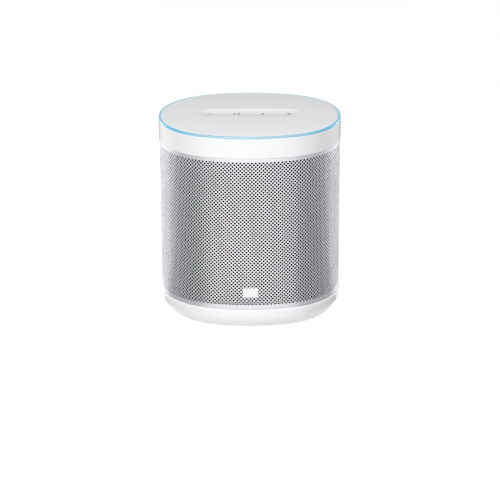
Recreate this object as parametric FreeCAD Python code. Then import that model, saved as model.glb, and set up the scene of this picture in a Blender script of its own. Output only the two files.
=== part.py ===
"""Smart speaker: an oval body in a perforated metal sleeve, standing on a bowl-shaped base.

Frame: +Z up, Z = 0 on the surface it stands on, +Y to the back, origin under the middle of the oval.
A closed speaker box stands on the base and holds one driver that faces the front. The deck above it
carries the boards, the light ring and the touch cover, and clamps the sleeve down on the base.
All sizes are millimetres.
"""

import FreeCAD
import Part

import math
import os

Vec = FreeCAD.Vector
UP = Vec(0, 0, 1)
BACK = Vec(0, 1, 0)
RIGHT = Vec(1, 0, 0)

# ---- Overall form: an oval of eight tangent arcs ----
width = 131.0  # left to right
depth = 104.0  # front to back
height = 151.0  # floor to the crown of the top cover
end_over = 6.0  # the two narrow ends: plan radius beyond the depth
flank_under = 23.0  # the front and the back: plan radius short of the width
corner_under = 5.0  # the four corners: plan radius short of half the depth

# ---- Visible stack, from the floor up ----
foot_stand = 1.0  # foot pad below the base
base_height = 17.5
base_rounding = 16.0  # radius that turns the base's side into its underside
base_side = 1.5  # least straight side left above that rounding
base_wall = 2.5
band_height = 14.4  # plain band above the sleeve
band_wall = 2.4
ring_height = 1.9  # lit edge of the light ring
ring_width = 2.2
ring_rounding = 0.9
ring_web = 0.6  # ring under the cover's rim
crown_rise = 1.5  # crown of the top cover above its rim
edge_break = 0.4  # small bevel where the band and the base meet the sleeve
slip = 0.1  # clearance between parts that slide together

# ---- Perforated sleeve ----
sleeve_inset = 0.5  # sleeve stands back from the band and the base
sleeve_thickness = 0.5
seam_gap = 0.25  # butt seam down the middle of the back
hole_diameter = 1.6  # real holes
hole_pitch = 2.7  # real holes along a row; the rows are half as far apart and staggered
hole_thinning = 4  # one square opening is as open as this number squared of the real holes
hem_top = 2.0  # plain edge above the holes
hem_bottom = 2.8  # plain edge below them
lip_height = 1.2  # lips of the base and the band that hold the sleeve
lip_thickness = 1.6

# ---- Foot pad ----
foot_inset = 19.0
foot_thickness = 2.0
foot_rim = 5.0  # width of the raised ring that the speaker stands on
foot_relief = 0.5

# ---- Badge ----
badge_width = 11.0
badge_height = 6.9
badge_thickness = 0.5
badge_rise = 13.2  # top of the base to the badge's centre
badge_corner = 0.5

# ---- Speaker box ----
box_inset = 7.0
box_wall = 2.4
box_lift = 1.5  # underside of the box above the top of the base
baffle_setback = 13.0  # baffle face behind the front of the oval
baffle_thickness = 3.0
lid_thickness = 2.4
lid_seal = 0.8
lid_rib = 2.0  # rib that centres the lid in the box
post_clearance = 0.5  # lid rib clear of the posts
deck_gap = 6.6  # lid to deck
pillar_x = 34.0  # screw pillars of base, box, lid and deck
pillar_y = 20.0
pillar_radius = 4.0
boss_bury = 0.8  # how far the lid bosses sink into the box's wall
foam_thickness = 8.0
foam_margin = 8.0

# ---- Screws ----
screw_shank = 1.45
screw_hole = 1.5
screw_clear = 1.7
screw_head = 2.7
screw_head_height = 1.9
screw_bite = 9.0
screw_well = 3.2  # radius of the wells that sink the base screws
screw_well_depth = 12.0
small_head = 2.2
small_head_height = 1.4
small_bite = 5.0
hole_spare = 1.0  # blind holes run this far past their screws

# ---- Deck and boards ----
deck_thickness = 2.2
board_thickness = 1.6
board_inset = 12.0
board_standoff = 3.0
standoff_radius = 2.6
board_post_margin = 9.5  # from the main board's two ends
board_post_y = 12.0
led_board_thickness = 1.2
led_board_gap = 0.2
led_board_width = 8.4
led_count = 24
led_size = 1.5
led_height = 1.0
led_drop = 0.4  # air between the lamps and the light ring
led_post_count = 4
led_post_inset = 8.6
ledge_thickness = 1.5
ledge_width = 2.0
ring_flange = 1.9  # width of the ring's flange inside the band
ring_flange_drop = 2.0
antenna_length = 24.0
antenna_thickness = 0.5
antenna_height = 4.4
ribbon_thickness = 0.3
ribbon_width = 8.0

wireless_margin_x = 20.5  # centre of the module, from the board's left-hand end
wireless_margin_y = 22.0  # and from its front
amplifier_margin = 36.5  # from the board's right-hand end
ring_socket_margin = 7.5
capacitor_places = ((22.5, 4.0), (22.5, 12.0), (29.5, -12.0), (21.5, -12.0))  # in from that end, and Y
capacitor_radius = 3.1
capacitor_height = 4.8
sink_width = 16.0
sink_depth = 14.0
sink_plate = 1.2
sink_height = 3.8
sink_fins = 6
sink_fin = 1.0
shield_corner = 1.2
main_connector_height = 2.2

# ---- Top cover ----
cover_wall = 2.2
crown_corner = 7.0  # corner radius of the cover's flat middle
key_pitch = 18.9  # spacing of the four touch keys
scoop_half_width = 8.0
scoop_depth = 1.2
sensor_seat_drop = 0.6
sensor_board_thickness = 1.0
sensor_board_depth = 16.0
sensor_seat_margin = 1.0
mic_margin = 17.8  # sound holes in from the front and the back
mic_hole = 0.6
mic_seat_radius = 4.5
mic_seat_drop = 1.6
mic_boot_radius = 3.4
mic_boot_thickness = 1.2
mic_board_width = 10.0
mic_board_front = 3.8  # board beyond the sound hole, away from the keys
mic_board_rear = 6.4  # board on the side of the keys
mic_board_thickness = 1.0
mic_can = 3.4
mic_can_height = 1.1
clip_width = 7.0
clip_thickness = 1.2
clip_gap = 0.3
clip_nose = 1.4
clip_nose_height = 1.8
clip_count = 6

# ---- Driver, turned about an axis that points to the back; depths count from its flange's face ----
cone_edge = 24.2
cone_lip = 1.6
cone_depth = 11.0
cone_sheet = 0.6
roll_radius = 2.5
roll_lap = 0.4  # how far the roll starts inside the cone's edge
surround_glue = 2.2
surround_sheet = 0.5
surround_seat = 0.8
rim_slip = 0.2
rim_width = 1.8
flange_thickness = 2.0
gasket_thickness = 0.8
mouth_slip = 0.4
basket_wall = 1.4
shoulder_depth = 5.0
waist_radius = 22.2
waist_depth = 15.0
throat_radius = 18.8
throat_depth = 16.0
basket_depth = 21.5
basket_bore = 12.5
window_start = 5.8
window_length = 7.6
window_width = 22.0
ear_radius = 4.0
ear_offset = 2.0  # screws outside the flange
backing_thickness = 4.0  # thicker wall behind the driver's screws
coil_radius = 10.1
former_thickness = 0.3
winding_thickness = 0.6
winding_length = 7.0
gap_clearance = 0.45
cap_radius = 11.6
cap_sheet = 0.5
cap_rise = 3.3
spider_sheet = 0.4
spider_waves = 3
spider_wave = 1.2
plate_thickness = 4.0
plate_margin = 1.0  # steel plates inside the magnet's edge
magnet_thickness = 9.0
magnet_radius = 20.0
magnet_bore = 13.0
vent_radius = 2.5
lug_depth = 12.0
lug_width = 10.0
strip_thickness = 1.2
strip_height = 4.6
tag_length = 3.0
tag_width = 2.0
tag_thickness = 0.8
tag_spread = 0.7  # share of the strip's half width

# ---- Power socket ----
socket_well = 5.8
socket_well_depth = 7.2
socket_well_wall = 2.0
socket_nose = 4.0
socket_bore = 3.15
socket_bore_depth = 9.5
socket_pin = 1.05
socket_pin_setback = 0.8
socket_body_width = 9.0
socket_body_height = 9.0
socket_body_length = 14.0
power_board_thickness = 1.2
power_board_lift = 1.2
power_board_width = 40.0
power_board_length = 21.0
power_board_setback = 4.0  # back edge in front of the socket's shoulder
power_post_radius = 2.2
power_post_margin = 3.0
connector_size = 6.0
connector_height = 4.0

# ---- Leads ----
speaker_lead_radius = 1.2
speaker_lead_run = 8.0  # terminals to the point where the lead turns up
grommet_wall = 1.8
power_lead_radius = 1.0
power_lead_x = 11.0
power_lead_inset = 5.7
power_lead_drop = 6.0  # the lead crosses the base this far below the box and bends up in that room
power_lead_margin = 10.0  # end of the lead, in from the main board's back
lead_bend_share = 0.45  # part of the shorter run that a bend may take
lead_margin = 0.2  # lead below the top of the terminal strip
ribbon_lap = 2.0  # ribbon flat against what it joins

# ---- Levels and places that follow from the sizes above ----
end_radius = depth + end_over
flank_radius = width - flank_under
corner_radius = depth / 2 - corner_under
base_under = foot_stand
base_floor = base_under + base_wall
base_rim = base_under + base_height
cover_rim = height - crown_rise
band_top = cover_rim - ring_height
band_foot = band_top - band_height
box_foot = base_rim + box_lift
lid_top = band_foot - deck_gap
lid_foot = lid_top - lid_thickness
box_top = lid_foot - lid_seal
deck_top = band_foot + deck_thickness
board_foot = deck_top + board_standoff
board_top = board_foot + board_thickness
cover_seat = band_top + ring_web
flange_inset = band_wall + slip
flange_inner = flange_inset + ring_flange
ring_foot = band_top - ring_flange_drop
led_board_top = ring_foot - led_drop - led_height
led_board_foot = led_board_top - led_board_thickness
led_board_inset = band_wall + led_board_gap
cover_inset = ring_width + slip
crown_inset = corner_radius - crown_corner
sensor_seat = height - cover_wall - sensor_seat_drop
mic_seat = height - cover_wall - mic_seat_drop
mic_board_top = mic_seat - mic_boot_thickness
clip_inset = flange_inner + clip_gap

baffle_y = -(depth / 2 - baffle_setback)
baffle_back = baffle_y + baffle_thickness
flange_front = baffle_y - gasket_thickness - flange_thickness
driver_z = (box_foot + box_top) / 2
roll_middle = cone_edge + roll_radius - roll_lap
surround_lip = roll_middle + roll_radius + surround_glue
rim_inner = surround_lip + rim_slip
flange_radius = rim_inner + rim_width
mouth_radius = surround_lip - basket_wall
baffle_hole = mouth_radius + mouth_slip
ear_reach = flange_radius + ear_offset
spider_seat = throat_depth - basket_wall
strip_front = flange_front + lug_depth + basket_wall
terminal_back = strip_front + strip_thickness
strip_foot = driver_z + mouth_radius - strip_height

power_board_foot = base_floor + power_board_lift
power_board_top = power_board_foot + power_board_thickness
socket_z = power_board_top + socket_body_height / 2
socket_floor_y = depth / 2 - socket_well_depth
socket_inner_y = socket_floor_y - socket_well_wall
power_board_back = socket_inner_y - power_board_setback
power_board_front = power_board_back - power_board_length
connector_y = power_board_front + connector_size
lead_y = terminal_back + speaker_lead_run
grommet_radius = speaker_lead_radius + grommet_wall

mic_y = depth / 2 - mic_margin
board_end = width / 2 - board_inset
board_back = depth / 2 - board_inset
board_post_x = board_end - board_post_margin
power_lead_end = board_back - power_lead_margin

pillars = [(x, y) for x in (-pillar_x, pillar_x) for y in (-pillar_y, pillar_y)]
board_posts = [(x, y) for x in (-board_post_x, board_post_x) for y in (-board_post_y, board_post_y)]
capacitor_spots = [(board_end - margin, y) for margin, y in capacitor_places]

# Parts on the main board: centre X, centre Y, width, depth, height
board_parts = {
    "processor_shield": (-13.0, 9.0, 26.0, 22.0, 2.4),
    "wireless_module": (wireless_margin_x - board_end, wireless_margin_y - board_back, 10.0, 16.0, 1.8),
    "audio_amplifier": (board_end - amplifier_margin, 6.0, 10.0, 8.0, 1.0),
    "speaker_connector": (0.0, -7.0, 8.0, 6.0, 3.4),
    "touch_socket": (-17.0, -5.0, 10.0, 3.0, 1.2),
    "ring_socket": (board_end - ring_socket_margin, 0.0, 4.0, 10.0, 1.2),
}


# ---- The oval ----
def corner_centre():
    """Centre of the corner arc in the +X +Y quarter: it is tangent inside the end and flank arcs."""
    end_x = width / 2 - end_radius
    flank_y = depth / 2 - flank_radius
    reach_end = end_radius - corner_radius
    reach_flank = flank_radius - corner_radius
    apart = math.hypot(end_x, flank_y)
    along = (reach_end**2 - reach_flank**2 + apart**2) / (2 * apart)
    aside = math.sqrt(reach_end**2 - along**2)
    unit_x, unit_y = -end_x / apart, flank_y / apart
    return end_x + along * unit_x - aside * unit_y, along * unit_y + aside * unit_x


def outline_arcs():
    """(centre, radius, start, end) of the eight arcs, anticlockwise from the right-hand end, in radians."""
    end_x = width / 2 - end_radius
    flank_y = depth / 2 - flank_radius
    cx, cy = corner_centre()
    low = math.atan2(cy, cx - end_x)
    high = math.atan2(cy - flank_y, cx)
    pi = math.pi
    return [
        (Vec(end_x, 0, 0), end_radius, -low, low),
        (Vec(cx, cy, 0), corner_radius, low, high),
        (Vec(0, flank_y, 0), flank_radius, high, pi - high),
        (Vec(-cx, cy, 0), corner_radius, pi - high, pi - low),
        (Vec(-end_x, 0, 0), end_radius, pi - low, pi + low),
        (Vec(-cx, -cy, 0), corner_radius, pi + low, pi + high),
        (Vec(0, -flank_y, 0), flank_radius, pi + high, 2 * pi - high),
        (Vec(cx, -cy, 0), corner_radius, 2 * pi - high, 2 * pi - low),
    ]


def on_arc(arc, angle, inset, z=0.0):
    centre, radius = arc[0], arc[1]
    reach = radius - inset
    return Vec(centre.x + reach * math.cos(angle), centre.y + reach * math.sin(angle), z)


def oval_wire(inset, z):
    edges = []
    for arc in outline_arcs():
        start, end = arc[2], arc[3]
        points = [on_arc(arc, angle, inset, z) for angle in (start, (start + end) / 2, end)]
        edges.append(Part.Arc(*points).toShape())
    return Part.Wire(edges)


def oval_prism(inset, low, high):
    return Part.Face(oval_wire(inset, low)).extrude(UP * (high - low))


def oval_ring(outer_inset, inner_inset, low, high):
    return oval_prism(outer_inset, low, high).cut(oval_prism(inner_inset, low - 1, high + 1))


def outline_length():
    return sum(radius * (end - start) for _, radius, start, end in outline_arcs())


def outline_spot(share):
    """Arc and angle at a share of the way round the outline, from the middle of the back, anticlockwise."""
    arcs = outline_arcs()
    lengths = [radius * (end - start) for _, radius, start, end in arcs]
    back_middle = lengths[0] / 2 + lengths[1] + lengths[2] / 2
    walk = (lengths[0] / 2 + back_middle + share * sum(lengths)) % sum(lengths)
    for arc, length in zip(arcs, lengths):
        if walk <= length:
            return arc, arc[2] + walk / arc[1]
        walk -= length
    return arcs[-1], arcs[-1][3]


def swept_face(face, arc):
    """Turns a face that stands at one arc's start about that arc's centre, over the arc."""
    centre, _, start, end = arc
    return face.revolve(centre, UP, math.degrees(end - start))


def joined(shapes):
    return shapes[0].multiFuse(shapes[1:]).removeSplitter()


# ---- Plain solids ----
def block(x0, x1, y0, y1, z0, z1):
    return Part.makeBox(x1 - x0, y1 - y0, z1 - z0, Vec(x0, y0, z0))


def centred_block(x, y, across, deep, low, high):
    return block(x - across / 2, x + across / 2, y - deep / 2, y + deep / 2, low, high)


def post(x, y, radius, low, high):
    return Part.makeCylinder(radius, high - low, Vec(x, y, low), UP)


def disc(x, z, radius, front, back):
    """A round solid along Y."""
    return Part.makeCylinder(radius, back - front, Vec(x, front, z), BACK)


def screw(seat, way, head, head_height, length):
    """A pan-head screw whose head sits on seat and whose shank runs along way."""
    shank = Part.makeCylinder(screw_shank, length, seat, way)
    return shank.fuse(Part.makeCylinder(head, head_height, seat, way * -1)).removeSplitter()


def placed_block(share, inset, radial, tangential, low, high):
    """A block square to the outline at a share of the way round, with its outer face at an inset."""
    arc, angle = outline_spot(share)
    made = block(0, radial, -tangential / 2, tangential / 2, low, high)
    made.rotate(Vec(0, 0, 0), UP, math.degrees(angle))
    made.translate(on_arc(arc, angle, inset + radial))
    return made


def edges_at(shape, z):
    boxes = [(edge, edge.BoundBox) for edge in shape.Edges]
    return [edge for edge, box in boxes if abs(box.ZMin - z) < 1e-4 and box.ZLength < 1e-4]


def section_face(runs, place):
    """A face from straight runs (a, b) and three-point arcs (a, b, c), each point put in space by place."""
    edges = []
    for run in runs:
        points = [place(*point) for point in run]
        shape = Part.Arc(*points) if len(points) == 3 else Part.LineSegment(*points)
        edges.append(shape.toShape())
    return Part.Face(Part.Wire(edges))


# ---- Base ----
def base_shell():
    rounding = min(base_rounding, base_height - base_side)
    outer = oval_prism(0, base_under, base_rim)
    outer = outer.makeFillet(rounding, edges_at(outer, base_under))
    outer = outer.makeChamfer(edge_break, edges_at(outer, base_rim))
    inner = oval_prism(base_wall, base_floor, base_rim + 1)
    inner = inner.makeFillet(rounding - base_wall, edges_at(inner, base_floor))
    lip_inset = sleeve_inset + sleeve_thickness + slip
    lip = oval_ring(lip_inset, lip_inset + lip_thickness, base_rim - lip_thickness, base_rim + lip_height)
    well = disc(0, socket_z, socket_well + socket_well_wall, socket_inner_y, depth).common(outer)
    columns = [post(x, y, pillar_radius, base_floor - 1, box_foot) for x, y in pillars]
    shell = joined([outer.cut(inner), lip, well] + columns + power_posts())
    cuts = [oval_prism(foot_inset, base_under - 1, foot_thickness)]
    for x, y in pillars:
        cuts.append(post(x, y, screw_clear, 0, box_foot + 1))
        cuts.append(post(x, y, screw_well, 0, base_under + screw_well_depth))
    for x, y in power_board_corners():
        cuts.append(post(x, y, screw_hole, base_floor - 0.5, power_board_foot + 1))
    cuts.append(disc(0, socket_z, socket_well, socket_floor_y, depth))
    cuts.append(disc(0, socket_z, socket_nose + slip, socket_inner_y - 1, depth))
    return shell.cut(cuts)


def base_screws():
    seat = base_under + screw_well_depth
    length = box_foot - seat + screw_bite
    return [screw(Vec(x, y, seat), UP, screw_head, screw_head_height, length) for x, y in pillars]


def foot_pad():
    pad = oval_prism(foot_inset + slip, 0, foot_thickness)
    return pad.cut(oval_prism(foot_inset + foot_rim, -1, foot_relief))


def power_board_corners():
    half = power_board_width / 2 - power_post_margin
    front = power_board_front + power_post_margin
    return [(-half, front), (half, front)]


def power_posts():
    return [post(x, y, power_post_radius, base_floor - 0.5, power_board_foot)
            for x, y in power_board_corners()]


def power_board():
    half = power_board_width / 2
    plate = block(-half, half, power_board_front, power_board_back, power_board_foot, power_board_top)
    return plate.cut([post(x, y, screw_clear, 0, base_rim) for x, y in power_board_corners()])


def power_board_screws():
    length = power_board_thickness + power_board_lift
    return [screw(Vec(x, y, power_board_top), UP * -1, small_head, small_head_height, length)
            for x, y in power_board_corners()]


def power_socket():
    half = socket_body_width / 2
    body_front = socket_inner_y - socket_body_length
    body_top = power_board_top + socket_body_height
    body = block(-half, half, body_front, socket_inner_y, power_board_top, body_top)
    nose = disc(0, socket_z, socket_nose, socket_inner_y, socket_floor_y)
    bore_foot = socket_floor_y - socket_bore_depth
    bore = disc(0, socket_z, socket_bore, bore_foot, depth)
    pin = disc(0, socket_z, socket_pin, bore_foot, socket_floor_y - socket_pin_setback)
    return body.fuse(nose).removeSplitter().cut(bore).fuse(pin).removeSplitter()


def power_connector(x, y, floor, tall):
    return centred_block(x, y, connector_size, connector_size, floor, floor + tall)


# ---- Sleeve and badge ----
def sleeve_opening(share, z, half_diagonal):
    """A square cutter on its corner, through the sleeve's wall."""
    arc, angle = outline_spot(share)
    start = on_arc(arc, angle, sleeve_inset + 2 * sleeve_thickness, z)
    out = Vec(math.cos(angle), math.sin(angle), 0)
    side = Vec(-math.sin(angle), math.cos(angle), 0) * half_diagonal
    rise = UP * half_diagonal
    corners = [start + side, start + rise, start - side, start - rise]
    return Part.Face(Part.makePolygon(corners + corners[:1])).extrude(out * (3 * sleeve_thickness))


def grille():
    """The sleeve, with its staggered rows of openings round the whole oval."""
    sleeve = oval_ring(sleeve_inset, sleeve_inset + sleeve_thickness, base_rim, band_foot)
    field_low, field_high = base_rim + hem_bottom, band_foot - hem_top
    columns = round(outline_length() / (hole_pitch * hole_thinning))
    rows = round((field_high - field_low) / (hole_pitch / 2 * hole_thinning))
    half_diagonal = hole_diameter / 2 * hole_thinning * math.sqrt(math.pi / 2)
    row_pitch = (field_high - field_low - 2 * half_diagonal) / (rows - 1)
    cutters = []
    for row in range(rows):
        z = field_low + half_diagonal + row * row_pitch
        first = 0.5 if row % 2 == 0 else 1.0
        for column in range(columns):
            share = (column + first) / columns
            if share < 1.0 and not under_badge(share, z, half_diagonal):
                cutters.append(sleeve_opening(share, z, half_diagonal))
    slit = block(-seam_gap / 2, seam_gap / 2, 0, depth, base_rim - 1, band_foot + 1)
    return sleeve.cut(cutters + [slit])


def under_badge(share, z, reach):
    across = abs(share - 0.5) * outline_length()
    beyond_side = across > badge_width / 2 + reach / 2
    beyond_edge = abs(z - base_rim - badge_rise) > badge_height / 2 + reach / 2
    return not (beyond_side or beyond_edge)


def badge_plate():
    """A bare plate bent to the sleeve's front."""
    centre_z = base_rim + badge_rise
    half_w, half_h = badge_width / 2, badge_height / 2
    ring = oval_ring(sleeve_inset - badge_thickness, sleeve_inset, centre_z - badge_height,
                     centre_z + badge_height)
    blank = block(-half_w, half_w, -depth, 0, centre_z - half_h, centre_z + half_h)
    upright = [edge for edge in blank.Edges if edge.BoundBox.YLength > depth / 2]
    return ring.common(blank.makeFillet(badge_corner, upright))


# ---- Speaker box ----
def box_prism(inset, low, high, front_y):
    """The oval cut flat at the front."""
    prism = oval_prism(inset, low, high)
    return prism.cut(block(-width, width, -depth, front_y, low - 1, high + 1))


def lid_bosses():
    reach_in = box_inset + box_wall + pillar_radius - boss_bury
    return [(reach_in - width / 2, 0), (width / 2 - reach_in, 0), (0, depth / 2 - reach_in)]


def ear_spots():
    reach = ear_reach / math.sqrt(2)
    return [(x, driver_z + z) for x in (-reach, reach) for z in (-reach, reach)]


def speaker_box():
    outer = box_prism(box_inset, box_foot, box_top, baffle_y)
    inner = box_prism(box_inset + box_wall, box_foot + box_wall, box_top + 1, baffle_back)
    columns = [post(x, y, pillar_radius, box_foot, lid_foot) for x, y in pillars]
    boss_foot = box_top - 2 * small_bite
    bosses = [post(x, y, pillar_radius, boss_foot, box_top).common(outer) for x, y in lid_bosses()]
    backing_end = baffle_back + backing_thickness
    backing = [disc(x, z, ear_radius, baffle_back - 1, backing_end) for x, z in ear_spots()]
    tub = joined([outer.cut(inner)] + columns + bosses + backing)
    cuts = [disc(0, driver_z, baffle_hole, baffle_y - 1, backing_end)]
    for x, y in pillars:
        cuts.append(post(x, y, screw_hole, box_foot - 1, box_foot + screw_bite + hole_spare))
        cuts.append(post(x, y, screw_hole, lid_foot - screw_bite - hole_spare, lid_foot + 1))
    for x, y in lid_bosses():
        cuts.append(post(x, y, screw_hole, box_top - small_bite - hole_spare, box_top + 1))
    for x, z in ear_spots():
        cuts.append(disc(x, z, screw_hole, baffle_y - 1, baffle_y + small_bite + hole_spare))
    return tub.cut(cuts)


def lid_gasket():
    outer = box_prism(box_inset, box_top, lid_foot, baffle_y)
    inner = box_prism(box_inset + box_wall, box_top - 1, lid_foot + 1, baffle_back)
    pads = [post(x, y, pillar_radius, box_top, lid_foot).common(outer) for x, y in lid_bosses()]
    holes = [post(x, y, screw_clear, box_top - 1, lid_foot + 1) for x, y in lid_bosses()]
    return joined([outer.cut(inner)] + pads).cut(holes)


def box_lid():
    plate = box_prism(box_inset, lid_foot, lid_top, baffle_y)
    outer_step, inner_step = 2 * slip + lid_rib / 2, 2 * slip + 3 * lid_rib / 2
    rib_inset = box_inset + box_wall
    ribs = box_prism(rib_inset + outer_step, lid_foot - lid_rib, lid_foot, baffle_back + outer_step)
    hollow = box_prism(rib_inset + inner_step, lid_foot - lid_rib - 1, lid_foot, baffle_back + inner_step)
    posts = pillars + lid_bosses()
    clear = pillar_radius + post_clearance
    around_posts = [post(x, y, clear, lid_foot - lid_rib - 1, lid_foot) for x, y in posts]
    holes = [post(x, y, screw_clear, lid_foot - 1, lid_top + 1) for x, y in posts]
    holes.append(post(0, lead_y, grommet_radius, lid_foot - lid_rib - 1, lid_top + 1))
    return joined([plate, ribs.cut([hollow] + around_posts)]).cut(holes)


def lid_screws():
    length = lid_thickness + lid_seal + small_bite
    return [screw(Vec(x, y, lid_top), UP * -1, small_head, small_head_height, length)
            for x, y in lid_bosses()]


def damping_foam():
    """Foam against the inside of the box's back wall."""
    low, high = box_foot + box_wall + foam_margin, box_top - 2 * small_bite - 1
    inset = box_inset + box_wall
    pad = oval_ring(inset, inset + foam_thickness, low, high)
    return pad.common(block(-width, width, pillar_y + pillar_radius + 1, depth, low, high))


# ---- Driver ----
def at_driver(radius, back):
    return Vec(radius, flange_front + back, driver_z)


def turned(profile):
    """Turns (radius, depth) points about the driver's axis."""
    points = [at_driver(radius, back) for radius, back in profile]
    face = Part.Face(Part.makePolygon(points + points[:1]))
    return face.revolve(Vec(0, 0, driver_z), BACK, 360)


def turned_section(runs):
    return section_face(runs, at_driver).revolve(Vec(0, 0, driver_z), BACK, 360)


def ears(front, back, inner_radius):
    hole = disc(0, driver_z, inner_radius, front - 1, back + 1)
    return [disc(x, z, ear_radius, front, back).cut(hole) for x, z in ear_spots()]


def ear_holes(front, back):
    return [disc(x, z, screw_clear, front - 1, back + 1) for x, z in ear_spots()]


def driver_gasket():
    front, back = baffle_y - gasket_thickness, baffle_y
    ring = disc(0, driver_z, flange_radius, front, back)
    hole = disc(0, driver_z, baffle_hole, front - 1, back + 1)
    return joined([ring.cut(hole)] + ears(front, back, baffle_hole)).cut(ear_holes(front, back))


def driver_basket():
    mouth_inner = mouth_radius - basket_wall
    throat_inner = throat_radius - basket_wall
    shell = turned([
        (flange_radius, 0), (flange_radius, flange_thickness), (mouth_radius, flange_thickness),
        (mouth_radius, shoulder_depth), (waist_radius, waist_depth), (waist_radius, throat_depth),
        (throat_radius, throat_depth), (throat_radius, basket_depth), (basket_bore, basket_depth),
        (basket_bore, basket_depth - basket_wall), (throat_inner, basket_depth - basket_wall),
        (throat_inner, spider_seat), (waist_radius - basket_wall, spider_seat),
        (mouth_inner, shoulder_depth - surround_seat), (mouth_inner, flange_thickness),
        (mouth_inner - surround_seat, flange_thickness), (mouth_inner - surround_seat, surround_seat),
        (rim_inner, surround_seat), (rim_inner, 0),
    ])
    windows = []
    for turn in (45, 135, 225, 315):
        half = window_width / 2
        first = flange_front + window_start
        window = block(throat_inner - 2, flange_radius, first, first + window_length,
                       driver_z - half, driver_z + half)
        window.rotate(Vec(0, 0, driver_z), BACK, turn)
        windows.append(window)
    lug_front = flange_front + lug_depth
    lug = block(-lug_width / 2, lug_width / 2, lug_front, strip_front, driver_z + waist_radius,
                strip_foot + strip_height)
    flange_back = flange_front + flange_thickness
    corners = ears(flange_front, flange_back, rim_inner)
    return joined([shell.cut(windows), lug] + corners).cut(ear_holes(flange_front, flange_back))


def surround():
    """A half-roll of rubber from the basket's seat to the cone's edge."""
    front, back = surround_seat - surround_sheet, surround_seat
    outer, inner = surround_lip, cone_edge - cone_lip
    roll_in, roll_out = roll_middle - roll_radius, roll_middle + roll_radius
    under = roll_radius - surround_sheet
    return turned_section([
        ((outer, back), (outer, front)), ((outer, front), (roll_out, front)),
        ((roll_out, front), (roll_middle, front - roll_radius), (roll_in, front)),
        ((roll_in, front), (inner, front)), ((inner, front), (inner, back)),
        ((inner, back), (roll_middle - under, back)),
        ((roll_middle - under, back), (roll_middle, back - under), (roll_middle + under, back)),
        ((roll_middle + under, back), (outer, back)),
    ])


def cone_depth_at(radius):
    """Depth of the cone's front face at a radius."""
    lip = cone_edge - cone_lip
    return surround_seat + (lip - radius) / (lip - coil_radius) * (cone_depth - surround_seat)


def cone():
    lip = cone_edge - cone_lip
    return turned([
        (cone_edge, surround_seat), (lip, surround_seat), (coil_radius, cone_depth),
        (coil_radius, cone_depth + cone_sheet), (lip, surround_seat + cone_sheet),
        (cone_edge, surround_seat + cone_sheet),
    ])


def dome_runs(rim, crown_depth):
    """The rim and the half-way point of a dome whose centre is on the axis."""
    radius, rise = rim[0], rim[1] - crown_depth
    curve = (radius**2 + rise**2) / (2 * rise)
    return (radius / 2, crown_depth + curve - math.sqrt(curve**2 - radius**2 / 4)), rim


def dust_cap():
    """A domed disc glued to the front of the cone."""
    crown = cone_depth_at(cap_radius) - cap_rise
    middle, rim = dome_runs((cap_radius, cone_depth_at(cap_radius)), crown)
    inner = cap_radius - cap_sheet
    inner_middle, inner_rim = dome_runs((inner, cone_depth_at(inner)), crown + cap_sheet)
    return turned_section([
        ((0, crown), middle, rim), (rim, inner_rim), (inner_rim, inner_middle, (0, crown + cap_sheet)),
        ((0, crown + cap_sheet), (0, crown)),
    ])


def voice_coil():
    middle = basket_depth + plate_thickness / 2
    first, last = middle - winding_length / 2, middle + winding_length / 2
    outer = coil_radius + winding_thickness
    inner = coil_radius - former_thickness
    return turned([
        (inner, cone_depth), (coil_radius, cone_depth), (coil_radius, first), (outer, first),
        (outer, last), (inner, last),
    ])


def spider():
    """Corrugated cloth that centres the coil."""
    outer = waist_radius - basket_wall - rim_slip
    start = throat_radius - basket_wall + rim_slip
    step = (start - coil_radius) / (2 * spider_waves + 1)
    back = [(outer, spider_seat), (start, spider_seat)]
    for k in range(1, 2 * spider_waves + 1):
        rise = spider_wave if k % 2 else 0
        back.append((start - k * step, spider_seat - rise))
    back.append((coil_radius, spider_seat - spider_wave / 2))
    front = [(radius, deep - spider_sheet) for radius, deep in reversed(back)]
    return turned(back + front)


def front_plate():
    bore = coil_radius + winding_thickness + gap_clearance
    edge = magnet_radius - plate_margin
    last = basket_depth + plate_thickness
    return turned([(bore, basket_depth), (edge, basket_depth), (edge, last), (bore, last)])


def magnet():
    first = basket_depth + plate_thickness
    last = first + magnet_thickness
    return turned([(magnet_bore, first), (magnet_radius, first), (magnet_radius, last), (magnet_bore, last)])


def yoke():
    """Back plate and pole in one piece, with a vent through both."""
    first = basket_depth + plate_thickness + magnet_thickness
    last = first + plate_thickness
    pole = coil_radius - former_thickness - gap_clearance
    edge = magnet_radius - plate_margin
    return turned([
        (vent_radius, basket_depth), (pole, basket_depth), (pole, first), (edge, first),
        (edge, last), (vent_radius, last),
    ])


def driver_terminals():
    half = lug_width / 2
    top = strip_foot + strip_height
    strip = block(-half, half, strip_front, terminal_back, strip_foot, top)
    tag_foot = strip_foot + strip_height / 3
    tag_x = half * tag_spread
    tag_back = terminal_back + tag_length
    tags = [block(x - tag_width / 2, x + tag_width / 2, terminal_back, tag_back, tag_foot,
                  tag_foot + tag_thickness) for x in (-tag_x, tag_x)]
    return joined([strip] + tags)


def driver_screws():
    length = flange_thickness + gasket_thickness + small_bite
    return [screw(Vec(x, flange_front, z), BACK, screw_head, screw_head_height, length)
            for x, z in ear_spots()]


# ---- Deck and band ----
def led_posts():
    spots = []
    for k in range(led_post_count):
        arc, angle = outline_spot((k + 0.5) / led_post_count)
        spots.append(on_arc(arc, angle, led_post_inset))
    return [(spot.x, spot.y) for spot in spots]


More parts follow.
